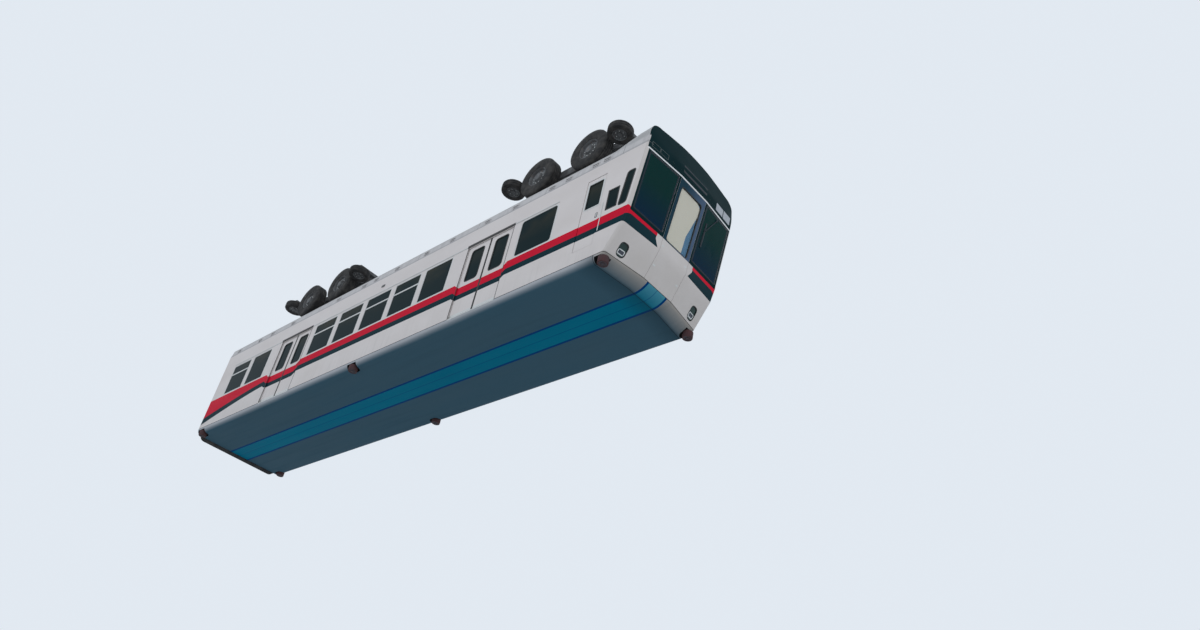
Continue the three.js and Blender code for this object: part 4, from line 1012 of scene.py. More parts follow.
corner = np.linspace(0.0, math.pi / 2, 9)
corner_y = NOSE_EDGE_Y + (HALF_WIDTH - NOSE_EDGE_Y) * np.sin(corner)
corner_y = np.sort(np.concatenate([corner_y, (SURROUND[1], CAP_HALF)]))
half_y = np.concatenate([np.linspace(0.0, NOSE_MID_Y, 4), np.linspace(NOSE_MID_Y, NOSE_EDGE_Y, 9)[1:-1],
                         corner_y])
front_h, front_a = np.meshgrid(FRONT_H, np.concatenate([-half_y[:0:-1], half_y]), indexing="ij")
outer = front_face(front_a, front_h, 0.0)
round_share = np.clip((np.abs(front_a) - NOSE_EDGE_Y) / (HALF_WIDTH - NOSE_EDGE_Y), 0.0, 1.0)
inner = outer.copy()
inner[..., 0] -= SHELL_THICK * np.sqrt(1.0 - round_share**2)
inner[..., 1] *= (HALF_WIDTH - SHELL_THICK) / HALF_WIDTH
front_shell = make_piece("front_shell", [two_sided(outer, inner)],
                         [front_paint, recess_shade, face_black, pale_trim], ["front_mask"],
                         smooth=38.0)
half = ESCAPE_HALF + 0.005
cuts = [plate(rounded(-half, half, 0.10, ESCAPE_TOP + 0.005, 0.002, 2), straight_face, 7.0, 7.9)]
for _, sign in SIDES:
    screen = rounded(*sided(sign, *SCREEN[:2]), *SCREEN[2:], 0.03, 5)
    lamp = rounded(sign * LAMP_Y - LAMP_HALF, sign * LAMP_Y + LAMP_HALF, *LAMP_H, LAMP_R, 8)
    cuts.append(plate(screen, straight_face, 6.9, 7.9))
    # The headlamp recesses' walls take the near black of painted shade.
    cuts.append(plate(lamp, straight_face, 6.9, 7.9, finish=1))
carve(front_shell, cuts)
for face in front_shell.data.polygons:
    h = face.center.z - BELLY_Z
    y = abs(face.center.y)
    if face.normal.x > 0.3 and h > TRIM_STRIP[0] and y < CAP_HALF:
        face.material_index = 2 if h > TRIM_STRIP[1] else 3
    elif face.normal.x > 0.3 and h > SURROUND[0] and y < SURROUND[1]:
        face.material_index = 2

# Emergency door. The middle facet is a plug door of the same moulding, sealed all round, with a
# tall window in a dark frame; four flush latches hold it, and a blind hangs behind the glass.
# Half width, height from and to, corners
ESCAPE_PANE = (0.300, 0.965, 2.150, 0.045)
ESCAPE_BORDER_H = 0.94
BLIND_SHAPE = np.array([
    (-0.290, 0.940), (0.150, 0.940), (0.150, 1.350), (0.289, 1.900), (0.289, 2.040), (0.270, 2.090),
    (0.220, 2.125), (0.100, 2.160), (-0.120, 2.185), (-0.200, 2.180), (-0.262, 2.140), (-0.285, 2.060),
])
# y, height
LATCHES = ((-0.325, 0.42), (0.325, 0.42), (-0.325, 0.80), (0.325, 0.80))
door_border, shader, place = finish_material("door_border", 0.4, specular=0.05)
# The border's blue-grey is drawn dark teal on the right and lighter towards the left: painted light from
# the sky.
colour = tint(slope(facing(place)[1], -0.20, 0.36), (0.006, 0.036, 0.056), (0.075, 0.120, 0.200))
feed(shader, tint(slope(cloud(place, 4.0, 3.0), 0.3, 0.7, 0.0, 0.3), colour, (0.020, 0.050, 0.080)))
pane_glass = mottled("escape_pane_glass", 0.05, (0.015, 0.045, 0.060), (0.030, 0.060, 0.070), (3.0,),
                     alpha=0.10, specular=0.1)
blind = mottled("roller_blind", 0.75, (0.84, 0.79, 0.66), (0.90, 0.85, 0.72), (60.0, 2.0, (1.0, 0.1, 1.0)),
                specular=0.2)
# A blue sheet behind the blind fills the window: a painted reflection of the sky in the glass.
window_reflection_sheet = mottled("window_reflection_sheet", 0.75, (0.10, 0.24, 0.40), (0.18, 0.33, 0.50), (5.0, 2.0), specular=0.1)

door_h, door_a = np.meshgrid(DOOR_H, np.linspace(-ESCAPE_HALF, ESCAPE_HALF, 9), indexing="ij")
leaf = two_sided(front_face(door_a, door_h, 0.0), front_face(door_a, door_h, 0.06))
escape = make_piece("emergency_door_leaf", [leaf], [front_paint, door_border],
                    ["emergency_door"], smooth=38.0)
pane_edge = rounded(-ESCAPE_PANE[0], *ESCAPE_PANE, 8)
carve(escape, [plate(pane_edge, straight_face, 7.0, 7.9, finish=1)])
for face in escape.data.polygons:
    if face.normal.x > 0.5 and face.center.z > BELLY_Z + ESCAPE_BORDER_H:
        face.material_index = 1

half = ESCAPE_HALF + 0.004
door_seal = (rounded(-half, half, 0.156, ESCAPE_TOP + 0.004, 0.004, 3),
             rounded(0.005 - half, half - 0.005, 0.160, ESCAPE_TOP - 0.001, 0.004, 3))
shells = [
    frame_plate(inset(pane_edge, -0.008), inset(pane_edge, 0.006), front_face, -0.002, 0.012, 0.004),
    frame_plate(inset(pane_edge, 0.0005), inset(pane_edge, 0.012), front_face, 0.008, 0.030, 0.002),
    frame_plate(*door_seal, front_face, 0.006, 0.030),
    plate(inset(pane_edge, 0.004), front_face, 0.006, 0.011, 0.0, (0.4, 0.8), 1),
    plate(BLIND_SHAPE, front_face, 0.020, 0.023, 0.0, (0.5,), 3),
    # The sheet of painted reflection, behind the blind.
    plate(inset(pane_edge, 0.002), front_face, 0.030, 0.033, 0.0, (0.5,), 4),
]
for y, h in LATCHES:
    latch = rounded(y - 0.028, y + 0.028, h - 0.016, h + 0.016, 0.010, 4)
    shells.append(plate(latch, front_face, -0.001, 0.006, 0.001, (), 2))
make_piece("emergency_door_window", shells, [gasket, pane_glass, bright_metal, blind, window_reflection_sheet])

# Windscreens. Two large laminated panes bonded flush into the surround with a dark blue-black
# border; the left pane has a wiper that hangs from a spindle at its head.
PANE_PLAY = 0.0005
# The spindle's y and height; start, end, depth and half thickness of the arm and the blade
WIPER_PIVOT = (0.800, 2.190)
WIPER_ARM = (WIPER_PIVOT, (0.555, 1.760), -0.014, 0.011)
WIPER_BLADE = ((0.550, 1.400), (0.550, 1.930), -0.007, 0.020)
clear_glass, shader, place = finish_material("windscreen_glass", 0.05, alpha=0.92, specular=0.04)
feed(shader, tint(slope(facing(place)[3], 1.05, 1.75), (0.002, 0.020, 0.046), (0.002, 0.030, 0.028)))
feed(shader, slope(cloud(place, 0.9, 2.0), 0.3, 0.7, 0.03, 0.09), "Roughness")
screen_border = mottled("screen_border", 0.22, (0.004, 0.010, 0.018), (0.010, 0.018, 0.028), (8.0,),
                        specular=0.2)
for side, sign in SIDES:
    near, far, low, high = SCREEN
    edge = rounded(*sided(sign, near + PANE_PLAY, far - PANE_PLAY), low + PANE_PLAY, high - PANE_PLAY,
                   0.03, 7)
    shells = [
        frame_plate(edge, inset(edge, 0.034), front_face, 0.0, 0.030, 0.003, 1),
        plate(inset(edge, 0.030), front_face, 0.0015, 0.0095, 0.0, (0.15, 0.35, 0.55, 0.75, 0.95), 0),
    ]
    if side == "left":
        for start, end, depth, half in (WIPER_ARM, WIPER_BLADE):
            path = front_face(*np.linspace(start, end, 9).T, depth)
            shells.append(carried(circle(8) * (half, 0.007), path, 1, (1.0, 0.0, 0.0)))
        y, h = WIPER_PIVOT
        hub = rounded(y - 0.022, y + 0.022, h - 0.022, h + 0.022, 0.021, 6)
        shells.append(plate(hub, front_face, -0.022, 0.004, 0.004, (), 1))
    make_piece("windscreen_pane_" + side, shells, [clear_glass, screen_border, gasket],
               ["windscreen_" + side])

# Headlamps. Each recess is closed by a dark smoked glass set a little back; low down in it stands
# a rectangular lamp in a bright pressed rim, level with the panel.
# Half width, height from and to
LAMP_LOW = (0.070, 0.231, 0.313)
lamp_rim = mottled("lamp_rim", 0.3, (0.74, 0.79, 0.79), (0.86, 0.88, 0.88), (50.0,))
smoked_glass = mottled("smoked_glass", 0.12, (0.006, 0.022, 0.021), (0.018, 0.050, 0.045), (14.0, 2.0),
                       specular=0.3)
lamp_lens, shader, place = finish_material("lamp_lens", 0.08)
inputs = {"Vector": place, "Scale": 28.0}
prisms = node(place.id_data, "TexWave", inputs, bands_direction="Y").outputs[0]
feed(shader, tint(prisms, (0.012, 0.018, 0.034), (0.040, 0.048, 0.070)))
relief(shader, prisms, 0.5, 0.003)

for side, sign in SIDES:
    centre = sign * LAMP_Y
    half = LAMP_HALF - PANE_PLAY
    edge = rounded(centre - half, centre + half, LAMP_H[0] + PANE_PLAY, LAMP_H[1] - PANE_PLAY, LAMP_R, 8)
    rim = rounded(centre - LAMP_LOW[0], centre + LAMP_LOW[0], *LAMP_LOW[1:], 0.022, 7)
    make_piece("headlamp_unit_" + side, [
        plate(edge, front_face, 0.034, 0.069, 0.0, (0.4, 0.8), 0),
        frame_plate(edge, inset(edge, 0.010), front_face, 0.002, 0.040, 0.002, 0),
        plate(inset(edge, 0.0095), front_face, 0.022, 0.033, 0.0, (0.4, 0.8), 3),
        frame_plate(rim, inset(rim, 0.011), front_face, 0.0005, 0.026, 0.004, 1),
        plate(inset(rim, 0.009), front_face, 0.008, 0.024, 0.0, (0.4, 0.8), 2),
    ], [lamp_dark, lamp_rim, lamp_lens, smoked_glass], ["headlamp_" + side])

# Signs of the front cap. Blank boxes are let into the black face over the windscreens: two thin
# outlines on the right, two pale plates on the left and a dark plate in the middle.
SIGNS = (
    # y from and to, height from and to, corners, then how far out, bevel and finish
    (0.700, 0.935, 2.395, 2.565, 0.010, 0.003, 0.002, 1),
    (0.955, 1.190, 2.395, 2.575, 0.010, 0.003, 0.002, 1),
    (-0.360, 0.360, 2.440, 2.620, 0.016, 0.002, 0.001, 0),
)
SIGN_FRAMES = ((-1.205, -0.990, 2.390, 2.500, 0.006), (-0.980, -0.775, 2.390, 2.500, 0.006))
blank_sign = mottled("blank_sign", 0.4, (0.33, 0.36, 0.40), (0.42, 0.45, 0.48), (5.0,), specular=0.3)
sign_line = mottled("sign_outline", 0.4, (0.07, 0.09, 0.09), (0.12, 0.14, 0.14), (9.0,), specular=0.3)
shells = [
    plate(rounded(*sign_edge, 4), front_face, -out, 0.004, bevel, (), finish)
    for *sign_edge, out, bevel, finish in SIGNS
]
for sign_edge in SIGN_FRAMES:
    box = rounded(*sign_edge, 4)
    shells.append(frame_plate(box, inset(box, 0.007), front_face, -0.002, 0.004, 0.001, 2))
make_piece("front_signs", shells, [screen_border, blank_sign, sign_line])

# Rear end wall and gangway. A painted wall with a doorway; the gangway's folded rubber-coated
# fabric is held by hoops, and its last hoop is a flat aluminium frame to be coupled up.
BELLOWS_X = -7.3603
# Half width, height from and to, corners of the bellows and of the way through them
BELLOWS = (1.120, -0.045, 2.640, 0.130)
GANGWAY_HOLE = (1.060, 0.004, 2.580, 0.090)
FOLDS = 4
FOLD_PITCH = 0.040
FOLD_DEEP = 0.032
FOLD_STEPS = 10
HOOP = 0.030
repainted("rear_wall", body_paint)
fold_rubber = mottled("fold_rubber", 0.75, (0.022, 0.023, 0.025), (0.085, 0.080, 0.074), (3.0, 5.0),
                      (0.45, 0.75, 0.0, 0.7), (25.0, 3.0, 0.4, 0.001))


def gangway_ring(size, x, pull=0.0):
    """A rounded rectangle that stands across the car at one x, drawn in by pull."""
    y, low, high, radius = size
    line = rounded(pull - y, y - pull, low + pull, high - pull, radius, 9)
    return np.insert(line + (0.0, BELLY_Z), 0, x, axis=1)


steps = np.arange(FOLDS * FOLD_STEPS + 1)
fold_x = BELLOWS_X - steps / FOLD_STEPS * FOLD_PITCH
fold_in = FOLD_DEEP * (1.0 - np.abs(np.sin(math.pi * steps / FOLD_STEPS)) ** 0.7)
folds = [gangway_ring(BELLOWS, x, pull) for x, pull in zip(fold_x, fold_in)]
folds += [gangway_ring(GANGWAY_HOLE, x) for x in fold_x[::-1]]
near, far = fold_x[-1] + 0.004, fold_x[-1] - HOOP
hoop = [gangway_ring(BELLOWS, x, pull) for x, pull in ((near, 0.02), (far + 0.003, 0.02), (far, 0.023))]
hoop += [gangway_ring(GANGWAY_HOLE, x) for x in (far, near)]
make_piece("gangway_folds", [ringed(folds), ringed(hoop, 1)], [fold_rubber, bright_metal],
           ["gangway_bellows"], smooth=50.0)

# Cab bulkhead, desk and seat. The bulkhead is a lined partition; the painted steel desk carries a
# dark panel with three dials, and the seat is an upholstered pan and back on a post.
DESK = (
    # x, y and height above the belly, each from and to, corners, bevel, finish
    (6.05, 6.94, -0.9, 0.9, 0.1453, 0.157, 0.004, 0.002, 1),
    (6.70, 6.96, 0.34, 0.88, 0.15, 0.91, 0.02, 0.01, 0),
    (6.66, 7.26, 0.32, 1.06, 0.90, 0.975, 0.03, 0.012, 0),
    (6.70, 6.96, -0.90, -0.40, 0.15, 0.90, 0.02, 0.01, 0),
    (6.34, 6.42, 0.535, 0.615, 0.15, 0.56, 0.038, 0.004, 0),
    (6.72, 6.94, 0.50, 0.86, 0.970, 0.984, 0.02, 0.003, 1),
)
DIAL_Y = (0.58, 0.69, 0.80)
lining_panel = mottled("lining_panel", 0.55, LINING_CREAM, (0.54, 0.50, 0.41), (3.0, 4.0))
repainted("cab_bulkhead", lining_panel)
seat_cloth, shader, place = finish_material("seat_moquette", 0.95, specular=0.2)
patch = slope(cloud(place, 10.0, 3.0), 0.4, 0.65)
feed(shader, tint(patch, (0.040, 0.075, 0.155), (0.065, 0.105, 0.195)))
inputs = {"Vector": place, "Scale": 220.0}
relief(shader, node(place.id_data, "TexVoronoi", inputs).outputs["Distance"], 0.5, 0.0015)


def cushion(x0, x1, y0, y1, z0, z1, crown):
    """A stuffed form, flat below: its corners are drawn in, its top falls off at the rim and swells by
    crown times the product of one minus the fourth powers of the shares along and across."""
    u = np.sin(np.linspace(-math.pi / 2, math.pi / 2, 15))
    a, b = np.meshgrid(u, u, indexing="ij")
    corner = 1.0 - 0.10 * (np.abs(a) * np.abs(b)) ** 6
    x = (x0 + x1) / 2 + (x1 - x0) / 2 * a * corner
    y = (y0 + y1) / 2 + (y1 - y0) / 2 * b * corner
    edge = np.minimum(1.0, 4.0 * (1 - np.maximum(np.abs(a), np.abs(b))) + 0.45)
    top = z0 + (z1 - z0 - crown) * edge + crown * (1 - a**4) * (1 - b**4)
    return two_sided(np.stack([x, y, top], axis=-1), np.stack([x, y, np.full_like(x, z0)], axis=-1))


def corners_of(mesh):
    """A mesh's points as rows of x, y, z."""
    places = np.empty(len(mesh.vertices) * 3)
    mesh.vertices.foreach_get("co", places)
    return places.reshape(-1, 3)


def stuffed(box, voxel, cap):
    """A pad in the box (x0, x1, y0, y1, z0, z1): the stuffed form, lower by cap, is remeshed, pressure
    inside blows its cover up as cloth, and no point moves by more than cap."""
    x0, x1, y0, y1, z0, z1 = box
    form = cushion(x0 + 0.004, x1 - 0.004, y0 + 0.004, y1 - 0.004, z0 + 0.001, z1 - cap, 0.2 * (z1 - z0))
    pad = placed("pad", *form[:2])
    remesh = pad.modifiers.new("remesh", "REMESH")
    remesh.mode = "VOXEL"
    remesh.voxel_size = voxel
    graph = bpy.context.evaluated_depsgraph_get()
    pad.data = bpy.data.meshes.new_from_object(pad.evaluated_get(graph))
    pad.modifiers.clear()
    cover = pad.modifiers.new("cover", "CLOTH").settings
    cover.use_pressure = True
    cover.uniform_pressure_force = 4.0
    cover.effector_weights.gravity = 0.0
    for moment in range(1, 21):
        bpy.context.scene.frame_set(moment)
    start = corners_of(pad.data)
    travel = corners_of(pad.evaluated_get(bpy.context.evaluated_depsgraph_get()).data) - start
    length = np.linalg.norm(travel, axis=1, keepdims=True)
    end = start + travel * np.minimum(1.0, cap / np.maximum(length, 1e-9))
    faces = [tuple(face.vertices) for face in pad.data.polygons]
    bpy.context.scene.frame_set(1)
    bpy.data.objects.remove(pad)
    return np.clip(end, (x0, y0, z0), (x1, y1, z1)), faces


desk = [
    block(*sides, BELLY_Z + h0, BELLY_Z + h1, corner, bevel, finish)
    for *sides, h0, h1, corner, bevel, finish in DESK
]
for y in DIAL_Y:
    desk.append(rod(2, (6.83, y), BELLY_Z + 0.98, BELLY_Z + 0.9852, 0.042, 24, 2, 0.001))
make_piece("cab_desk", desk, [steel_paint, floor_covering, blank_sign], ["cab_fittings"])
seat_pan = stuffed((6.152, 6.608, 0.357, 0.793, BELLY_Z + 0.545, BELLY_Z + 0.640), 0.011, 0.014)
points, faces = stuffed((BELLY_Z + 0.605, BELLY_Z + 1.238, 0.367, 0.783, -6.208, -6.122), 0.011, 0.014)
seat_back = (np.column_stack([-points[:, 2], points[:, 1], points[:, 0]]), faces)
for name, pad in (("driver_seat_cushion", seat_pan), ("driver_seat_back", seat_back)):
    driver_seat = make_piece(name, [shell_of(*pad)], [seat_cloth], smooth=70.0)
    rounder = driver_seat.modifiers.new("rounder", "SUBSURF")
    rounder.levels = 1
    rounder.render_levels = 1

# Passenger seats. Long benches stand with their backs to the walls: a painted steel heater box, a
# sprung cushion and a padded back, joined past the doors by a flat threshold plate.
# Each bench: x from and to, places
SEAT_RUNS = ((-6.85, -5.09, 4), (-2.13, 2.13, 9), (5.08, 5.60, 1))
SEAT_WALL_Y = 1.1897
SEAT_PLACE = 0.460
# Its box, foot and back board: reach out from the wall, height from and to, corners, bevel
BENCH_STEEL = (
    (0.40, 0.225, 0.400, 0.01, 0.006),
    (0.06, 0.150, 0.300, 0.004, 0.002),
    (0.06, 0.420, 1.005, 0.004, 0.002),
)
seat_points, seat_faces = stuffed((0.0, SEAT_PLACE, -0.366, 0.0, 0.398, 0.573), 0.018, 0.020)
back_points, back_faces = stuffed((0.0, SEAT_PLACE, 0.565, 1.008, 0.0, 0.075), 0.018, 0.014)
for side, sign in SIDES:
    shells = [block(-6.9, 5.7, *sided(sign, SEAT_WALL_Y - 0.06, SEAT_WALL_Y), BELLY_Z + 0.1453,
                    BELLY_Z + 0.153, 0.003, 0.001, 1)]
    cushions = []
    backs = []
    for x0, x1, places in SEAT_RUNS:
        for out, h0, h1, corner, bevel in BENCH_STEEL:
            shells.append(block(x0, x1, *sided(sign, SEAT_WALL_Y - out, SEAT_WALL_Y), BELLY_Z + h0,
                                BELLY_Z + h1, corner, bevel))
        pitch = (x1 - x0) / places
        stretch = (pitch - 0.008) / SEAT_PLACE
        for k in range(places):
            start = x0 + k * pitch + 0.004
            x, y, z = seat_points.T
            points = np.column_stack([start + stretch * x, sign * (SEAT_WALL_Y - 0.112 + y), BELLY_Z + z])
            cushions.append(shell_of(points, seat_faces))
            x, z, y = back_points.T
            points = np.column_stack([start + stretch * x, sign * (SEAT_WALL_Y - 0.035 - y), BELLY_Z + z])
            backs.append(shell_of(points, back_faces))
    make_piece("seat_frames_" + side, shells, [lining_panel, bright_metal],
               ["seats_" + side])
    for name, pads in (("bench_cushions_", cushions), ("bench_backs_", backs)):
        make_piece(name + side, pads, [seat_cloth], smooth=60.0)

# Steadying rollers. A drum of hard red-brown rubber on a steel core turns on an upright pin in each
# pocket of the floor pan; six bolts hold the drum to its core.
ROLLER_H = 0.010
# Outlines: radius, and height from the roller's middle; half of the rubber's, which is mirrored
ROLLER_RUBBER = [(0.076, -0.070), (0.090, -0.072), (0.097, -0.066), (0.100, -0.058)]
ROLLER_HUB = (
    (0.004, -0.069), (0.022, -0.069), (0.025, -0.060), (0.045, -0.058), (0.066, -0.060), (0.070, -0.069),
    (0.077, -0.069), (0.077, 0.068), (0.0249, 0.071), (0.0249, 0.113), (0.004, 0.113),
)
ROLLER_CAP = ((0.002, -0.071), (0.016, -0.071), (0.018, -0.066), (0.002, -0.064))


def mirrored(line):
    """An outline whose second half is its first half's mirror image."""
    return line + [(radius, -along) for radius, along in reversed(line)]


def bolts(axis, spot, ring, number, low, high, radius, finish=0, turn=0.0, bevel=0.001):
    """Hexagon bolt heads evenly spread on a ring about an axis, the first one at the angle turn."""
    spots = np.array(spot) + ring * circle(number, turn)
    return [rod(axis, each, low, high, radius, 6, finish, bevel) for each in spots]


hub_brown = mottled("hub_brown", 0.6, (0.060, 0.058, 0.075), (0.090, 0.055, 0.055), (22.0, 6.0),
                    (0.4, 0.68), (22.0, 6.0, 0.4, 0.0015), specular=0.3)
roller_rubber = mottled("roller_rubber", 0.8, (0.080, 0.036, 0.038), (0.060, 0.040, 0.044), (9.0, 5.0),
                        (0.4, 0.75), (60.0, 3.0, 0.3, 0.001), specular=0.2)
z = BELLY_Z + ROLLER_H
for number, x in enumerate(ROLLER_X, 1):
    for side, sign in SIDES:
        spot = (x, sign * ROLLER_Y)
        name = f"roller_{number}_{side}"
        make_piece("wheel_" + name, [
            turned(2, spot, mirrored(ROLLER_RUBBER), 40, 1, z, ringed),
            turned(2, spot, ROLLER_HUB, 40, 0, z),
            turned(2, spot, ROLLER_CAP, 24, 0, z),
            *bolts(2, spot, 0.036, 6, z - 0.069, z - 0.056, 0.006),
        ], [hub_brown, roller_rubber], [name], name)

# Air conditioner packs. Two sheet-metal units with grilles in their sides and fan openings on top
# stand on the roof between the gallows, joined by a low duct.
PACKS = ((-3.3, -0.9), (0.9, 3.3))
PACK_HALF = 0.820
PACK_Z0 = BELLY_Z + 2.8083
PACK_Z1 = BELLY_Z + 3.1382
# Half length, half width, height of the top
DUCT = (3.4, 0.300, 2.9582)
GRILLE_X = (0.16, 0.90, 1.64)
GRILLE_LONG = 0.60
LOUVRES = 9
FAN_X = (-0.70, 0.0, 0.70)
FAN_R = 0.235
# Outline of a fan opening's rim: radius, height
FAN_RIM = ((FAN_R, 0.0), (0.27, 0.0), (0.27, 0.010), (0.262, 0.0138), (0.243, 0.0138), (FAN_R, 0.010))


def strip(r0, r1, t0, t1):
    """A flat outline between two radii and two distances."""
    return (r0, t0), (r1, t0), (r1, t1), (r0, t1)


long, wide, top = DUCT
shells = [block(-long, long, -wide, wide, PACK_Z0, BELLY_Z + top, 0.02, 0.012)]
for x0, x1 in PACKS:
    half = PACK_HALF - 0.012
    shells.append(block(x0, x1, -half, half, PACK_Z0, PACK_Z1 - 0.014, 0.04, 0.020))
    for dx in FAN_X:
        x, z = (x0 + x1) / 2 + dx, PACK_Z1 - 0.0145
        spot = (x, 0.0)
        shells.append(turned(2, spot, FAN_RIM, 40, 0, z, ringed))
        # Under the fan's rim, a disc in the near black of painted shade.
        shells.append(turned(2, spot, strip(0.004, 0.236, 0.0, 0.003), 40, 1, z))
        for r in np.arange(5) * 0.045 + 0.05:
            shells.append(turned(2, spot, strip(r, r + 0.006, 0.006, 0.011), 40, 0, z, ringed))
        for wide, deep in ((FAN_R, 0.006), (0.006, FAN_R)):
            shells.append(block(x - wide, x + wide, -deep, deep, PACK_Z1 - 0.011, PACK_Z1 - 0.005, 0.001,
                                0.0))
    for _, sign in SIDES:
        for first in GRILLE_X:
            ends = (x0 + first, x0 + first + GRILLE_LONG)
            back = sided(sign, PACK_HALF - 0.014, PACK_HALF - 0.006)
            blade = sided(sign, PACK_HALF - 0.010, PACK_HALF - 0.001)
            # Behind the louvres, a back plate in the near black of painted shade.
            shells.append(block(*ends, *back, PACK_Z0 + 0.05, PACK_Z1 - 0.06, 0.002, 0.0, 1))
            for k in range(LOUVRES):
                z = PACK_Z0 + 0.058 + k * 0.0235
                shells.append(block(*ends, *blade, z, z + 0.009, 0.001, 0.0))
make_piece("air_conditioners", shells, [roof_paint, recess_shade], ["roof_unit"])

# Hangers. A forged steel head sits in the bogie's bolster; a box column is welded under it, and its
# yoke holds two rubber air springs that carry the gallows.
HANGER_HEAD = (
    (0.02, 0.8003), (0.32, 0.8003), (0.33, 0.8103), (0.33, 0.8453), (0.31, 0.862), (0.30, 0.866),
    (0.15, 0.870), (0.02, 0.870),
)
# Half length, half width, height from and to, corners, bevel of the column and the yoke
HANGER_BOXES = (
    (0.130, 0.100, -0.410, 0.8303, 0.02, 0.01),
    (0.150, 0.600, -0.430, -0.330, 0.02, 0.012),
)
# y, radius, radius of the waist, height from and to
SPRING = (0.430, 0.180, 0.150, -0.3303, -0.1305)
spring_y, wide, waist, low, high = SPRING
share = np.linspace(0.0, 1.0, 21)
bulge = waist + (wide - waist) * np.abs(np.sin(2 * math.pi * share)) ** 0.6
bag = [(0.01, low), *zip(bulge, low + (high - low) * share), (0.01, high)]
belt = strip(waist - 0.01, waist + 0.008, (low + high) / 2 - 0.006, (low + high) / 2 + 0.006)
for end, x in zip(("front", "rear"), GALLOWS_X):
    shells = [turned(2, (x, 0.0), HANGER_HEAD, 48)]
    shells += bolts(2, (x, 0.0), 0.27, 8, 0.860, 0.8695, 0.016, 0, math.pi / 8)
    for half_x, half_y, z0, z1, corner, bevel in HANGER_BOXES:
        shells.append(block(x - half_x, x + half_x, -half_y, half_y, z0, z1, corner, bevel))
    for _, sign in SIDES:
        spot = (x, sign * spring_y)
        shells += [turned(2, spot, bag, 40, 1), turned(2, spot, belt, 40, close=ringed)]
    make_piece("hanger_dressed_" + end, shells, [steel_paint, fold_rubber],
               ["hanger_" + end])

# Bogie frames. A welded box-section frame: two side beams with drop legs for the axles, end beams,
# a bolster that the hanger's head turns in, gearcases, motors, and arms for the guide wheels.
BOGIE_X = (("front", 4.5), ("rear", -4.5))
AXLE_X = 0.75
TYRE_R = 0.5
BEAM_Y = 0.310
BEAM_OUT = 0.360
LEG = np.array([(-0.15, 0.60), (-0.11, 0.45), (-0.085, 0.405), (0.085, 0.405), (0.11, 0.45), (0.15, 0.60)])
# x from the bogie's middle from and to, y from and to, height from and to, corners, bevel, finish
BEAMS = (
    (-1.50, 1.50, 0.260, 0.360, 0.560, 0.760, 0.012, 0.008, 0),
    (-1.45, 1.45, 0.254, 0.366, 0.748, 0.759, 0.004, 0.002, 0),
)
# The same for the pieces of either end: end beam, arm, gearcase and its rib, torque beam, bearer
BOGIE_ENDS = (
    (1.40, 1.52, -0.310, 0.310, 0.560, 0.760, 0.012, 0.008, 0),
    (1.50, 1.62, -0.730, 0.730, 0.700, 0.790, 0.03, 0.008, 0),
    (0.58, 0.92, -0.200, 0.200, 0.330, 0.670, 0.05, 0.03, 1),
    (0.58, 0.92, -0.012, 0.012, 0.360, 0.650, 0.004, 0.002, 1),
    (0.75, 1.46, -0.155, -0.020, 0.440, 0.560, 0.02, 0.015, 1),
    (0.69, 0.81, -0.310, 0.310, 0.620, 0.700, 0.01, 0.006, 0),
)
# x and y of a guide wheel's boss, height from and to
GUIDE_ARM = (1.56, 0.66, 0.786, 0.790)
MOTOR_X = (0.85, 1.44)
MOTOR_RIBS = 7

for end, at in BOGIE_X:
    shells = []
    for _, sign in SIDES:
        for x0, x1, y0, y1, *rest in BEAMS:
            shells.append(block(at + x0, at + x1, *sided(sign, y0, y1), *rest))
        for way in (-1, 1):
            x = at + way * AXLE_X
            y0, y1 = sided(sign, BEAM_OUT - 0.004, BEAM_OUT + 0.022)
            shells.append(drawn_out(LEG + (x, 0.0), 1, sided(sign, BEAM_Y - 0.05, BEAM_OUT), lift=0.0))
            shells.append(rod(1, (x, TYRE_R), y0, y1, 0.088, 36, 0, 0.005))
            shells += bolts(1, (x, TYRE_R), 0.070, 6, y0, y1 + 0.006 * max(sign, 0), 0.009, turn=0.3)
    for way in (-1, 1):
        for x0, x1, *rest in BOGIE_ENDS:
            shells.append(block(*sided(way, x0, x1, at), *rest))
        x, y, z0, z1 = GUIDE_ARM
        for _, sign in SIDES:
            shells.append(rod(2, (at + way * x, sign * y), z0, z1, 0.050, 24, 0, 0.001))
        x0, x1 = sided(way, *MOTOR_X, at)
        shells.append(rod(0, (0.0, TYRE_R), x0, x1, 0.119, 40, 1, 0.012))
        for x in np.linspace(x0 + 0.16, x1 - 0.10, MOTOR_RIBS):
            shells.append(rod(0, (0.0, TYRE_R), x - 0.006, x + 0.006, 0.1195, 40, 1, 0.002))
    body = "bogie_" + end
    make_piece("bogie_dressed_" + end, shells, [steel_paint, roof_paint],
               ["bogie_frame_" + end], body)
    bolster = block(at - 0.40, at + 0.40, -BEAM_Y, BEAM_Y, 0.70, 0.80, 0.02, 0.006)
    bolster_piece = make_piece("bolster_" + end, [bolster], [steel_paint], (), body)
    carve(bolster_piece, [rod(2, (at, 0.0), 0.54, 0.83, 0.231, 48)])

# Wheelsets. Each axle carries two ten-hole steel rims with large rubber tyres; the tread has four
# grooves round it, the side walls bulge a little and the hub stands in the dished outer face.
WHEEL_Y = 0.600
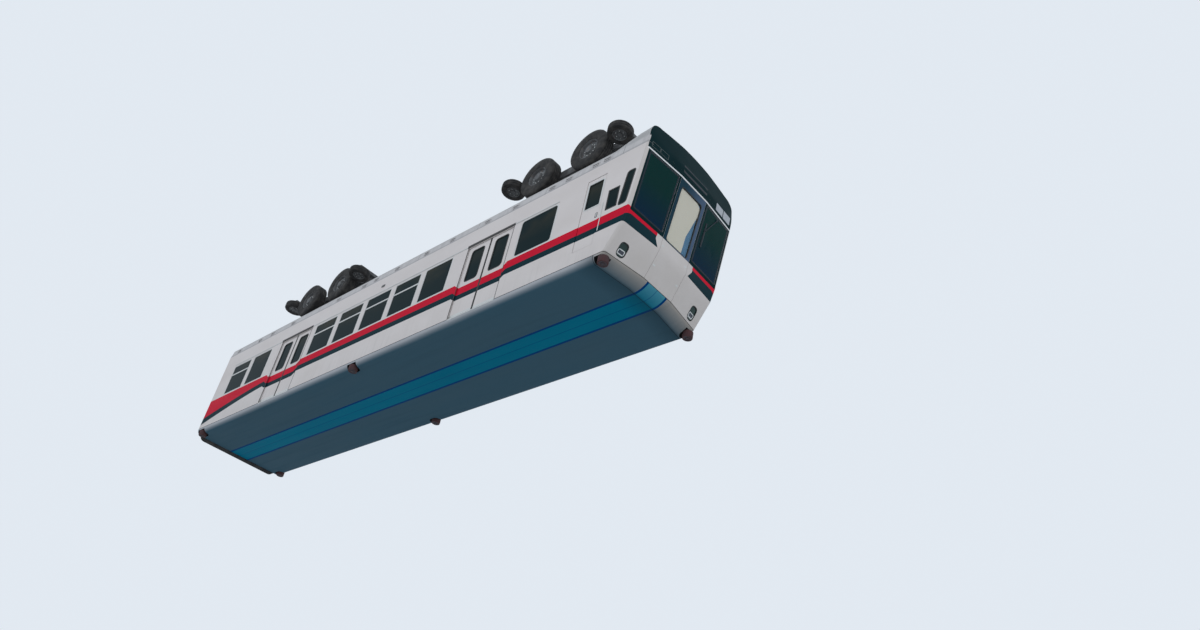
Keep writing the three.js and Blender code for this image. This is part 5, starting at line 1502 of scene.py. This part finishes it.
# Outlines: radius, and distance from the wheel's middle; half of the tyre's, which is mirrored
TYRE_WALL = [
    (0.246, -0.115), (0.260, -0.131), (0.320, -0.144), (0.400, -0.145), (0.455, -0.137), (0.484, -0.123),
    (0.496, -0.105),
]
TYRE_GROOVES = [
    (0.4995, -0.081), (0.488, -0.080), (0.488, -0.070), (0.4995, -0.069),
    (0.4995, -0.031), (0.488, -0.030), (0.488, -0.020), (0.4995, -0.019),
]
WHEEL_DISH = (
    (0.012, -0.113), (0.100, -0.111), (0.230, -0.105), (0.244, -0.117), (0.252, -0.117), (0.246, -0.030),
    (0.246, 0.105), (0.253, 0.119), (0.244, 0.121), (0.234, 0.109), (0.220, 0.065), (0.160, 0.061),
    (0.115, 0.061), (0.100, 0.083), (0.088, 0.115), (0.070, 0.121), (0.012, 0.123),
)
tread_rubber = mottled("tread_rubber", 0.8, (0.020, 0.020, 0.021), (0.060, 0.056, 0.052), (9.0, 5.0),
                       (0.4, 0.75), (60.0, 3.0, 0.3, 0.001), specular=0.3)
tyre = np.array(mirrored(TYRE_WALL + TYRE_GROOVES))
for end, at in BOGIE_X:
    for number, way in ((1, 1), (2, -1)):
        spot = (at + way * AXLE_X, TYRE_R)
        shells = [rod(1, spot, -0.56, 0.56, 0.0598, 32, 1, 0.002)]
        for _, sign in SIDES:
            middle = sign * WHEEL_Y
            shells.append(turned(1, spot, tyre * (1, sign), 56, 0, middle, ringed))
            shells.append(turned(1, spot, np.array(WHEEL_DISH) * (1, sign), 56, 1, middle))
            shells += bolts(1, spot, 0.140, 10, *sided(sign, 0.657, 0.681), 0.013, 2, bevel=0.002)
        name = f"wheelset_{end}_{number}"
        make_piece("tyred_" + name, shells, [tread_rubber, steel_paint, bright_metal], [name], name)

# Guide wheels. Smaller rubber-tyred wheels lie flat and steer the bogie; each is a steel disc that
# turns on its upright pin under an arm of the frame.
GUIDE_AT = (1.56, 0.66, 0.56)
GUIDE_TYRE = [
    (0.150, -0.074), (0.165, -0.086), (0.200, -0.090), (0.235, -0.088), (0.258, -0.078), (0.268, -0.062),
    (0.270, -0.033), (0.260, -0.032), (0.260, -0.024), (0.270, -0.023),
]
GUIDE_HUB = (
    (0.008, -0.078), (0.050, -0.078), (0.055, -0.060), (0.135, -0.056), (0.148, -0.076), (0.154, -0.076),
    (0.154, 0.076), (0.148, 0.076), (0.135, 0.056), (0.060, 0.060), (0.052, 0.086), (0.0347, 0.088),
    (0.0347, 0.199), (0.008, 0.199),
)
x, y, z = GUIDE_AT
for end, at in BOGIE_X:
    for side, sign in SIDES:
        for number, way in ((1, 1), (2, -1)):
            spot = (at + way * x, sign * y)
            name = f"guide_wheel_{end}_{number}_{side}"
            make_piece("tyred_" + name, [
                turned(2, spot, mirrored(GUIDE_TYRE), 48, 0, z, ringed),
                turned(2, spot, GUIDE_HUB, 48, 1, z),
                *bolts(2, spot, 0.092, 6, z - 0.070, z - 0.054, 0.010, 2),
            ], [tread_rubber, steel_paint, bright_metal], [name], name)

# Coupler. A short steel drawbar on an upright pin in the draft box, with a flat-faced tight-lock
# head, a cone and a cup in its face, and an air connection on each side.
PIVOT_X = -7.10
HEAD_X = (-7.5898, -7.51)
z0, z1 = BELLY_Z + DRAFT[1], BELLY_Z + DRAFT[2]
coupler = [
    block(HEAD_X[1] - 0.01, PIVOT_X, -0.042, 0.042, z0 + 0.0165, z1 - 0.0165, 0.004, 0.012),
    block(*HEAD_X, -0.1148, 0.1148, z0 + 0.0042, z1 - 0.0002, 0.006, 0.006),
    rod(2, (PIVOT_X, 0.0), z0 + 0.0105, z1 - 0.0105, 0.0748, 36, 0, 0.004),
    rod(2, (PIVOT_X, 0.0), z0 - 0.0078, z1 + 0.0078, 0.0298, 28, 1, 0.001),
]
for _, sign in SIDES:
    x0, x1 = HEAD_X
    face_spot, pipe_spot = (sign * 0.055, (z0 + z1) / 2), (sign * 0.098, z1 - 0.03)
    coupler.append(rod(0, face_spot, x0 - 0.0001, x0 + 0.01, 0.030, 28, 1, 0.002))
    coupler.append(rod(0, pipe_spot, x1 - 0.01, x1 + 0.03, 0.012, 16, 1, 0.002))
make_piece("coupler_dressed", coupler, [steel_paint, bright_metal], ["coupler"], "coupler")
